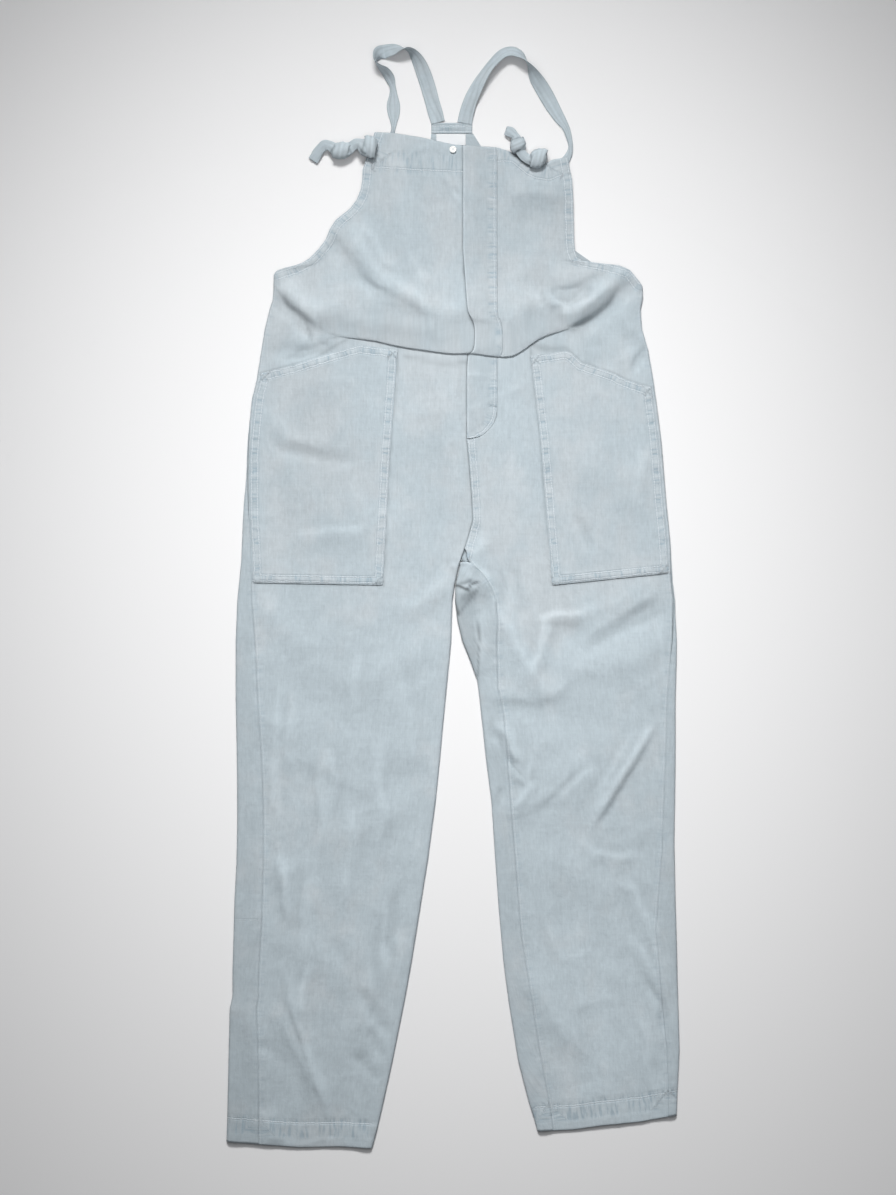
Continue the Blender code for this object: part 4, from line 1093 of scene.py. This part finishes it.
    # Painted shade in the narrow gaps between folds at the crotch
    fields["tone_and_shade"] = np.where(over_top > 0.5, tone_and_shade(x, y) * 0.95, 0.93) * gap_shade(x, y, CROTCH_GAPS)
    # Painted shade on the inner thigh, where the cloth turns away from the light
    inner_thigh_shade = ease(-y, -14, 0) * ease(y, -150, -80) * (1 - ease(x, 27, 32)) * (side > 0)
    fields["tone_and_shade"] = fields["tone_and_shade"] * (1 - 0.13 * inner_thigh_shade * (x > -4))
    fields["wash"] = np.ones_like(x)
    piece = build_grid(name, x, y, z, fields, (along * inward + 700 + lean * y, y))
    return clothe(piece, denim(name + "_denim"), CLOTH - 0.06)


def build_pocket(name, left_edge, right_edge, top, bottom, seed):
    """A patch pocket on a front: both sides are x over y, and top and bottom are y over x."""
    shares = [shares_across(POCKET_EDGE, 20, size, 3.4) for size in (POCKET_WIDE, POCKET_TALL)]
    across, down = np.meshgrid(*shares)
    y = np.full_like(across, 150.0)
    for _ in range(8):
        x = mix(left_edge(y), right_edge(y), across)
        y = mix(y_at(top, x), y_at(bottom, x), down)
    ys = np.array(spaced(10, 310, 10) + [310])
    lines = [
        (list(zip(left_edge(ys).tolist(), ys.tolist())), -1),
        (list(zip(right_edge(ys).tolist(), ys.tolist())), 1),
        (list(top[1:]), -1), (list(bottom[1:]), 1),
    ]
    fields = seam_fields(x, y, [
        seam(line, side, 2.2, 9.4, 1.0, (-2, 10.6), 0.4, zone=(2.5, 9)) for line, side in lines
    ])
    outer = left_outer(y) if name.startswith("pocket_left") else right_outer(y)
    z = top_height(x, y, outer, np.full_like(x, FAR)) + POCKET_LIFT + seam_relief(fields, seed)
    across_mm, down_mm = across * POCKET_WIDE, down * POCKET_TALL
    for near in (across_mm, POCKET_WIDE - across_mm, POCKET_TALL - down_mm):
        z = z - 1.1 * bell(near, 2.2)
    z = z - 0.4 * bell(down_mm, 1.4)
    fields["tone_and_shade"] = tone_and_shade(x, y)
    piece = build_grid(name, x, y, z, fields, (x + 1500, y))
    return clothe(piece, denim(name + "_denim"))


front_left = build_front("front_left_cloth", front_left_edges, LEFT_HEM, LEFT_HEM_Y, LEFT_SEAMS, 0.075, 21)
front_right = build_front(
    "front_right_cloth", front_right_edges, RIGHT_HEM, RIGHT_HEM_Y, RIGHT_SEAMS, -0.07, 24,
)
placket = build_placket()
back_left = back_part("back_left_cloth", -1, [
    seam(shifted(LEFT_OUTER, LEFT_SIDE_SEAM, 1, -692, 210), 1, 3.0, 3.0, 0.4, None, stitch=0.2),
    seam([(-300, -404), (-220, -406)], 1, 0.0, 0.0, 0.3, (0, 30), 0.3, stitch=0.4),
    seam(hem_run(LEFT_HEM, LEG_HEM_DEEP), 1, 0.0, 0.0, 0.85, None, zone=(-17, 3.5)),
], 0.02, 41)
back_right = back_part("back_right_cloth", 1, [
    seam(shifted(RIGHT_OUTER, RIGHT_SIDE_SEAM, -1, -670, 60), -1, 3.0, 3.0, 0.4, None, stitch=0.2),
    seam(outline_run(RIGHT_INSEAM, -670, 52), 1, 3.0, 3.0, 0.4, None, stitch=0.2),
    seam(hem_run(RIGHT_HEM, LEG_HEM_DEEP), 1, 0.0, 0.0, 0.85, None, zone=(-17, 3.5)),
], 0.02, 44)

pocket_left = build_pocket(
    "pocket_left_cloth",
    lambda y: left_outer(y) + np.maximum(4.0, inset_at(LEFT_SIDE_SEAM, y) + 1.5),
    lambda y: x_at(LEFT_POCKET_INNER, y), LEFT_POCKET_TOP, LEFT_POCKET_BOTTOM, 51,
)
pocket_right = build_pocket(
    "pocket_right_cloth",
    lambda y: x_at(RIGHT_POCKET_INNER, y),
    lambda y: right_outer(y) - np.maximum(4.0, inset_at(RIGHT_SIDE_SEAM, y) + 1.5),
    RIGHT_POCKET_TOP, RIGHT_POCKET_BOTTOM, 54,
)


def plain(name, colour, rough, bump=0.0, scale=900.0):
    """A smooth material with a little unevenness of its own."""
    n = Nodes(name)
    place = n.add("TexCoord").outputs["Object"]
    size = n.add("VectorMath")
    size.operation = "SCALE"
    size.inputs["Scale"].default_value = scale
    n.link(place, size.inputs[0])
    grain = n.noise(size.outputs[0], 3.0)
    darker, paler = tuple(value * 0.94 for value in colour), tuple(min(1.0, value * 1.05) for value in colour)
    shade = n.mix(grain, darker, paler)
    n.link(shade, n.shader.inputs["Base Color"])
    n.shader.inputs["Roughness"].default_value = rough
    if bump:
        node = n.add("Bump")
        node.inputs["Strength"].default_value = bump
        node.inputs["Distance"].default_value = 0.0004
        n.link(grain, node.inputs["Height"])
        n.link(node.outputs[0], n.shader.inputs["Normal"])
    return n.material


def build_yoke():
    xs = np.linspace(-27, 24, 40)
    ys = np.array([590.5, 589.8, 588.6, 587.4, 586.4, 585, 583.6, 582, 580.4, 579, 578, 577.4])
    x, y = np.meshgrid(xs, ys)
    pipe = bell(y - 584.6, 1.6) * np.exp(-(np.maximum(0, np.abs(x + 1) - 13) / 2) ** 4)
    z = BACK_Z + 0.75 + 1.3 * pipe + 0.25 * noise(x / 8, y / 9, 61)
    z = z - 0.4 * bell(590.5 - y, 0.9) - 0.4 * bell(x + 27, 1.2) - 0.4 * bell(24 - x, 1.2)
    fields = seam_fields(x, y, [seam([(-30, 587.8), (28, 587.8)], -1, 1.4, 8.4, 0.9)])
    fields["wash"] = np.ones_like(x)
    fields["tone_and_shade"] = 0.98 - 0.10 * bell(y - 587, 1.6)
    piece = build_grid("back_yoke_cloth", x, y, z, fields, (x + 50, y))
    return clothe(piece, denim("yoke_denim"))


def build_label():
    x, y = np.meshgrid(np.linspace(-21, 16, 30), np.linspace(576.5, 557, 18))
    z = CAD_BACK_Z * 2 + 0.55 + 0.35 * noise(x / 13, y / 9, 71) + 0.12 * np.cos(x / 6)
    fields = {"tone_and_shade": np.ones_like(x)}
    piece = build_grid("blank_label_tape", x, y, z, fields, (x, y))
    return clothe(piece, plain("label_tape", (0.66, 0.68, 0.70), 0.75, 0.5, 1400.0), 0.5)


def smooth_line(table, spacing):
    """Points every few millimetres along a smooth curve through a table's rows."""
    rows = [tuple(float(value) for value in row) for row in table[1:]]
    padded = [rows[0]] + rows + [rows[-1]]
    points = []
    for p0, p1, p2, p3 in zip(padded, padded[1:], padded[2:], padded[3:]):
        count = max(1, round(math.dist(p1[:2], p2[:2]) / spacing))
        for step in range(count):
            t = step / count
            points.append([
                0.5 * (2 * b + (c - a) * t + (2 * a - 5 * b + 4 * c - d) * t * t
                       + (3 * b - a - 3 * c + d) * t ** 3)
                for a, b, c, d in zip(p0, p1, p2, p3)])
    points.append(list(rows[-1]))
    return np.array(points)


def runs(points):
    steps = np.gradient(points[:, :2], axis=0)
    steps /= np.maximum(1e-9, np.hypot(steps[:, 0], steps[:, 1]))[:, None]
    length = np.concatenate([[0], np.cumsum(np.hypot(*np.diff(points[:, :2], axis=0).T))])
    return steps[:, 0], steps[:, 1], length


STRAP_TONE = 1.03
# A row without a width and a thickness has the strap's usual ones
STRAP_LEFT = (
    ("x", "y", "turn", "width", "thick"),
    (-18.6, 590.9, 0), (-22, 603, 0), (-26.5, 619, 2), (-31, 635, 6), (-36, 650, 14), (-41, 662, 26),
    (-47, 672, 48), (-55, 680, 80), (-65, 682, 118), (-74, 681.5, 150), (-83, 680, 170), (-90, 678, 196),
    (-95, 673, 236), (-96.5, 666, 262), (-92, 659, 280), (-85, 653.5, 300), (-79, 646, 325, 14, 2.2),
    (-75.5, 636, 350, 8, 3), (-74.5, 626, 356, 10, 2.4), (-74.5, 614, 360, 16, 1.8),
    (-74, 602, 360, 15, 1.8), (-74, 592, 360, 9, 2.6), (-74.5, 583, 360, 5, 3.6), (-77, 574, 360, 7, 3),
    (-83, 566, 360, 10, 2.4), (-92, 562, 360, 11, 2.2),
)
STRAP_RIGHT = (
    ("x", "y", "turn", "width", "thick"),
    (14.6, 589.9, 0), (17, 602, 4), (21.5, 617, 12), (28, 631, 26), (35, 644, 38), (43, 656, 46),
    (52, 667, 46), (62, 676, 42), (73, 679, 40), (82.5, 675.5, 48), (89.5, 668.5, 72), (95, 660, 100),
    (101.5, 648, 136), (109, 637, 160), (117, 624, 174), (125, 610, 180, 17, 1.8),
    (133.5, 596, 180, 14, 2), (141, 584.5, 180, 9, 2.8), (145, 572, 180, 7, 3.4), (147, 560, 180, 6, 3.6),
    (144, 549, 180, 9, 2.6), (137, 540, 180, 12, 2), (128, 533, 180, 12, 2),
)
TIE_LEFT = (
    ("x", "y", "z", "across", "thick"),
    (-95.5, 556, 12.3, 5, 3), (-98, 557, 12.5, 9.5, 5), (-104, 559, 12.7, 12.5, 6.3),
    (-110, 560, 12.5, 11.5, 6), (-114, 561.5, 12, 8, 4.5), (-117.5, 563, 11.4, 6, 2.8),
    (-121, 562.5, 10.9, 6, 2.4), (-127, 558.5, 9.8, 6.2, 2.6), (-130, 556.5, 9.3, 7.5, 4.6),
    (-134, 555, 9, 8.6, 6), (-140, 554.5, 8.6, 8.8, 6.6), (-146, 556, 8.2, 8.4, 6),
    (-150, 558.5, 7.4, 6.6, 4), (-154, 561, 6.6, 6, 2.6), (-160, 561.5, 6, 6, 2),
    (-166, 556.5, 5, 6.2, 1.8), (-171, 549.5, 3.8, 6.4, 1.5), (-175.5, 543, 3, 6.6, 1.2),
)
TIE_RIGHT = (
    ("x", "y", "z", "across", "thick"),
    (116, 541, 9.9, 4, 3), (113.5, 542, 10.1, 8.5, 5), (108, 544.5, 10.3, 11.3, 6.2),
    (101.5, 544, 10.2, 10.6, 6), (97, 543.5, 9.7, 7.5, 4.4), (93.5, 544, 9.4, 6, 2.6),
    (89, 547, 9.1, 5.8, 2.2), (84.5, 552, 8.8, 6, 2.6), (83, 555.5, 8.7, 7.4, 4.6),
    (81.2, 560, 8.6, 8.4, 6.2), (80, 566, 8.2, 8.2, 6.2), (79, 570.5, 7.4, 6.2, 4.2),
    (77.5, 573.5, 6.6, 4.8, 2.8), (75, 576, 6, 5.2, 2.8), (72, 578, 5, 6, 2.6),
    (68.5, 579.5, 4, 6, 2), (65.5, 580.5, 3.2, 5.2, 1.6),
)


def build_strap(name, table, seed):
    """A flat sewn tube of cloth that twists as it lies, with its edges rolled and lengthwise creases."""
    points = smooth_line([row + (STRAP_WIDE, STRAP_THICK)[len(row) - 3:] for row in table], 1.4)
    dx, dy, length = runs(points)
    angle = np.radians(points[:, 2])[:, None]
    half, thin = points[:, 3:4] / 2, points[:, 4:5] / 2
    flat, rise = np.cos(angle), np.sin(angle)
    base = half * np.abs(rise) + thin * np.abs(flat)
    turn = np.linspace(0, 2 * math.pi, 40, endpoint=False)[None, :]
    across = np.sign(np.cos(turn)) * np.abs(np.cos(turn)) ** 0.8
    up = np.sign(np.sin(turn)) * np.abs(np.sin(turn)) ** 0.6
    squeeze = np.clip(STRAP_WIDE / points[:, 3:4] - 1, 0, 1.6)
    s = np.repeat(length[:, None], turn.shape[1], axis=1)
    wave = noise(across * 2.2 + 5, s / 34, seed) * 0.45 + noise(across * 4.5, s / 16, seed + 1) * 0.22
    wave = wave * (0.6 + squeeze) * np.where(up > 0, 1, 0.5) * (1 - across ** 4)
    half_now = half * (1 + 0.04 * noise(s / 14, across * 0, seed + 3))
    a = across * half_now
    b = up * thin * (1 - 0.35 * across ** 2) + wave
    x = points[:, 0:1] + dy[:, None] * (a * flat - b * rise)
    y = points[:, 1:2] - dx[:, None] * (a * flat - b * rise)
    z = np.maximum(0.02, base + a * rise + b * flat)
    u = turn / (2 * math.pi) * STRAP_GIRTH + 0 * s
    # The tone is darker along the rolled edges as painted shade
    fields = {
        "tone_and_shade": (1 - 0.10 * bell(np.abs(across) - 0.96, 0.06) + 0 * s
                 + 0.05 * noise(s / 22, across * 2, seed + 5)),
        "seam_d": (1 - np.abs(across)) * half + 0 * s, "seam_s": s, "row_a": np.full_like(s, 1.7),
        "row_b": np.full_like(s, 1.7), "stitch": np.full_like(s, 0.35), "pucker": np.zeros_like(s),
        "wash": np.ones_like(s),
    }
    # Two wandering dark lines along the strap: painted shade of its lengthwise creases
    for shift, sharp, amount in ((0.3, 0.10, 0.16), (-0.35, 0.12, 0.12)):
        middle = shift + 0.4 * noise(s / 30, across * 0, seed + 7 + 10 * shift)
        fields["tone_and_shade"] = fields["tone_and_shade"] - amount * bell(across - middle, sharp)
    fields["tone_and_shade"] = fields["tone_and_shade"] * STRAP_TONE
    piece = build_grid(name, x, y, z, fields, (u, s + seed * 3), closed_ring=True)
    return clothe(piece, denim(name + "_denim"), STRAP_WALL, -1)


def ring_band(x, y, z, dx, dy, tilt, across, thick, width, seed):
    """The broad outer turn of a knot, as a closed, bulging band with pleats along it."""
    around = np.linspace(0, 2 * math.pi, 49)[:, None]
    section = np.linspace(0, 2 * math.pi, 20, endpoint=False)[None, :]
    wide = np.cos(section) * width / 2 * (1 + 0.10 * noise(around * 1.6, around * 0, seed))
    pleats = np.sin(np.cos(section) * 8 + 1.4 * np.sin(around) + seed) * np.maximum(0, np.sin(section))
    bulge = 1.5 * np.sin(section) ** 2 - 0.9
    lumps = noise(around * 2, np.cos(section) * 2, seed + 1)
    fat = np.sin(section) + bulge + 0.5 * pleats + 0.3 * lumps
    out = across + fat + 0.4 * noise(around * 1.3, around * 0, seed + 2)
    high = thick + fat
    along = wide + np.cos(around) * math.tan(math.radians(tilt)) * across + 0 * out
    side = np.cos(around) * out
    px = x + dx * along + dy * side
    py = y + dy * along - dx * side
    pz = z + np.sin(around) * high
    return px, py, np.maximum(0.3, pz), pleats


def build_tie(name, table, knots, seed):
    """The knotted end of a strap: gathered cloth along its run and the turns that make each knot."""
    points = smooth_line(table, 0.8)
    dx, dy, length = runs(points)
    turn = np.linspace(0, 2 * math.pi, 44, endpoint=False)[None, :]
    s = np.repeat(length[:, None], turn.shape[1], axis=1)
    across, thick = points[:, 3:4], points[:, 4:5]
    folds = 0.16 * np.cos(turn * 5 + s / 6 + noise(s / 9, turn * 0, seed))
    folds = folds + 0.10 * noise(turn * 1.6, s / 5, seed + 1)
    gather = 1 + folds * np.clip(thick / across, 0.15, 1)
    out, up = across * np.cos(turn) * gather, thick * np.sin(turn) * gather
    out = out + 0.5 * noise(s / 7, turn * 0.7, seed + 2)
    x = points[:, 0:1] + dy[:, None] * out
    y = points[:, 1:2] - dx[:, None] * out
    z = np.maximum(0.3, points[:, 2:3] + up)
    end = np.clip((length[-1] - length) / 1.2, 0, 1)[:, None]
    close = np.sqrt(1 - (1 - end) ** 2)
    z = mix(points[:, 2:3], z, close)
    # Painted shade on the tie where it goes into and out of each knot's turn
    wrap_shade = np.ones_like(s)
    for spot, _tilt, _size, width in knots:
        wrap_shade = wrap_shade - 0.34 * bell(np.abs(s - spot) - width * 0.53, 1.3)
    # The gathers are painted lighter on their crests and darker in their hollows, as light and shade
    fields = {"tone_and_shade": STRAP_TONE * wrap_shade * (0.93 + 0.55 * folds * np.clip(thick / 6, 0.3, 1)),
              "wash": np.ones_like(x)}
    cloth_map = (turn / (2 * math.pi) * TIE_GIRTH + 0 * s, s + seed)
    cloth = build_grid(name, x, y, z, fields, cloth_map, closed_ring=True)
    material = denim(name + "_denim", seams=False)
    bands = []
    for number, (spot, tilt, size, width) in enumerate(knots):
        i = int(np.argmin(np.abs(length - spot)))
        px, py, pz, pleats = ring_band(points[i, 0], points[i, 1], points[i, 2], dx[i], dy[i], tilt,
                               points[i, 3] * size, points[i, 4] * size, width, seed + 10 * number)
        # Painted shade at the band's sides, and painted light and shade on its pleats
        rim = np.abs(np.cos(np.linspace(0, 2 * math.pi, 20, endpoint=False)))[None, :] + 0 * px
        fields = {"tone_and_shade": STRAP_TONE * (0.95 - 0.22 * rim ** 8 + 0.11 * pleats), "wash": np.ones_like(px)}
        around = np.linspace(0, 48, 49)[:, None] + 0 * px
        across_band = np.linspace(0, 14, 20)[None, :] + 0 * px
        band_map = (across_band, around)
        band = build_grid(f"{name}_turn_{number}", px, py, pz, fields, band_map, closed_ring=True)
        band.data.materials.append(material)
        bands.append(band)
    clothe(cloth, material, STRAP_WALL, -1)
    bpy.ops.object.select_all(action="DESELECT")
    for part in bands + [cloth]:
        part.select_set(True)
    bpy.context.view_layer.objects.active = cloth
    bpy.ops.object.join()
    return cloth


def build_button():
    """A four-hole shirt button with a raised rim, a little above the cloth, with a thread stitch at each
    hole.
    """
    top = float(front_height(np.array([BUTTON_X]), np.array([BUTTON_Y]))[0]) + CLOTH / 2
    z = top + BUTTON_GAP + 0.3
    profile = [(0, 0), (2.4, 0), (3.6, 0.2), (4.2, 0.7), (4.35, 1.2), (4.2, 1.7), (3.8, 1.95), (3.3, 1.9),
               (2.8, 1.45), (2.2, 1.3), (0, 1.3)]
    mesh = bpy.data.meshes.new("top_button_shell")
    form = bmesh.new()
    rings = []
    for radius, height in profile[1:-1]:
        rings.append([form.verts.new((
            (BUTTON_X + radius * math.cos(2 * math.pi * k / BUTTON_SIDES)) * MM,
            (BUTTON_Y + radius * math.sin(2 * math.pi * k / BUTTON_SIDES)) * MM, (z + height) * MM,
        )) for k in range(BUTTON_SIDES)])
    for low, high in zip(rings, rings[1:]):
        for k in range(BUTTON_SIDES):
            form.faces.new((low[k], low[(k + 1) % BUTTON_SIDES], high[(k + 1) % BUTTON_SIDES], high[k]))
    form.faces.new(list(reversed(rings[0])))
    form.faces.new(rings[-1])
    bmesh.ops.recalc_face_normals(form, faces=form.faces)
    form.to_mesh(mesh)
    form.free()
    mesh.shade_smooth()
    button = bpy.data.objects.new("top_button_shell", mesh)
    bpy.context.scene.collection.objects.link(button)
    button.data.materials.append(plain("button_white", (0.86, 0.86, 0.84), 0.3))
    holes = []
    for k in range(4):
        angle = math.pi / 4 + k * math.pi / 2
        bpy.ops.mesh.primitive_uv_sphere_add(
            segments=12, ring_count=8, radius=0.00052,
            location=((BUTTON_X + 1.0 * math.cos(angle)) * MM, (BUTTON_Y + 1.0 * math.sin(angle)) * MM,
                      (z + 1.28) * MM),
        )
        hole = bpy.context.object
        hole.name = f"button_stitch_{k}"
        hole.data.shade_smooth()
        hole.data.materials.append(THREAD_DARK)
        holes.append(hole)
    return button, holes


THREAD_DARK = plain("button_thread", (0.30, 0.36, 0.42), 0.8)
yoke = build_yoke()
label = build_label()
strap_left = build_strap("strap_left_cloth", STRAP_LEFT, 81)
strap_right = build_strap("strap_right_cloth", STRAP_RIGHT, 84)
tie_left = build_tie("tie_left_cloth", TIE_LEFT, (
    (8, 12, 0.94, 15), (47.5, -13, 1.03, 19)), 91)
tie_right = build_tie("tie_right_cloth", TIE_RIGHT, (
    (10.5, -17, 0.93, 17), (46, 13, 1.0, 14)), 94)
button, button_holes = build_button()

# Pieces of the garment, the node that each stands for, its cut and what it lies on
SHEETS = (
    (front_left, "front_left", (0.29, 1.30), 0.27, ["back_left_cloth"]),
    (front_right, "front_right", (0.27, 1.27), 0.22, ["back_right_cloth"]),
    (back_left, "back_left", (0.32, 1.28), 0.28, ["floor"]),
    (back_right, "back_right", (0.33, 1.26), 0.29, ["floor"]),
    (placket, "front_placket", (0.046, 0.41), None, ["front_left_cloth"]),
    (pocket_left, "pocket_left", (0.185, 0.30), 0.049, ["front_left_cloth"]),
    (pocket_right, "pocket_right", (0.172, 0.295), 0.040, ["front_right_cloth"]),
    (yoke, "back_yoke", (0.052, 0.012), None, ["back_left_cloth"]),
    (label, "blank_label", (0.038, 0.02), None, ["back_left_cloth"]),
    (strap_left, "strap_left", (0.036, 0.27), None, ["floor"]),
    (strap_right, "strap_right", (0.036, 0.27), None, ["floor"]),
    (tie_left, "tie_left", (0.036, 0.21), None, ["front_left_cloth"]),
    (tie_right, "tie_right", (0.036, 0.20), None, ["front_right_cloth"]),
)
bpy.ops.mesh.primitive_plane_add(size=1, location=(0, 0, 0))
floor = bpy.context.object
floor.name = "floor"
floor.scale = (8, 8, 1)
floor.location.z = -0.0001
floor.data.materials.append(plain("floor_board", (0.72, 0.72, 0.728), 0.9, 0.0, 3.0))
for piece, node, flat, area, rests_on in SHEETS:
    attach(piece, "root")
    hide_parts(node)
for piece in [button] + button_holes:
    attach(piece, "root")
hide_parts("top_button")


def area_light(name, place, target, size, power, colour):
    data = bpy.data.lights.new(name, "AREA")
    data.shape = "RECTANGLE"
    data.size, data.size_y = size
    data.energy = power
    data.color = colour
    light = bpy.data.objects.new(name, data)
    light.visible_camera = False
    bpy.context.scene.collection.objects.link(light)
    light.location = place
    light.rotation_euler = (Vector(target) - Vector(place)).to_track_quat("-Z", "Y").to_euler()
    return light


key = area_light("key", (-0.14, 1.9, 1.9), (0.02, -0.2, 0), (0.9, 0.5), 8.2, (1.0, 0.995, 0.985))
key.data.spread = math.radians(50)
area_light("overhead", (0, 0.2, 1.2), (0, 0.2, 0), (1.0, 1.0), 5.7, (0.985, 0.993, 1.0))
world = bpy.data.worlds.new("soft room")
bpy.context.scene.world = world
world.use_nodes = True
world.node_tree.nodes["Background"].inputs["Color"].default_value = (0.97, 0.985, 1.0, 1)
world.node_tree.nodes["Background"].inputs["Strength"].default_value = 0.16

lens = bpy.data.cameras.new("camera")
lens.sensor_fit = "HORIZONTAL"
lens.sensor_width = 36
lens.lens = 36 * CAMERA_Z / PHOTO_WIDTH_MM
lens.clip_end = 20
camera = bpy.data.objects.new("camera", lens)
bpy.context.scene.collection.objects.link(camera)
camera.location = (CAMERA_X * MM, CAMERA_Y * MM, CAMERA_Z * MM)
bpy.context.scene.camera = camera
bpy.context.scene.view_settings.view_transform = "Standard"
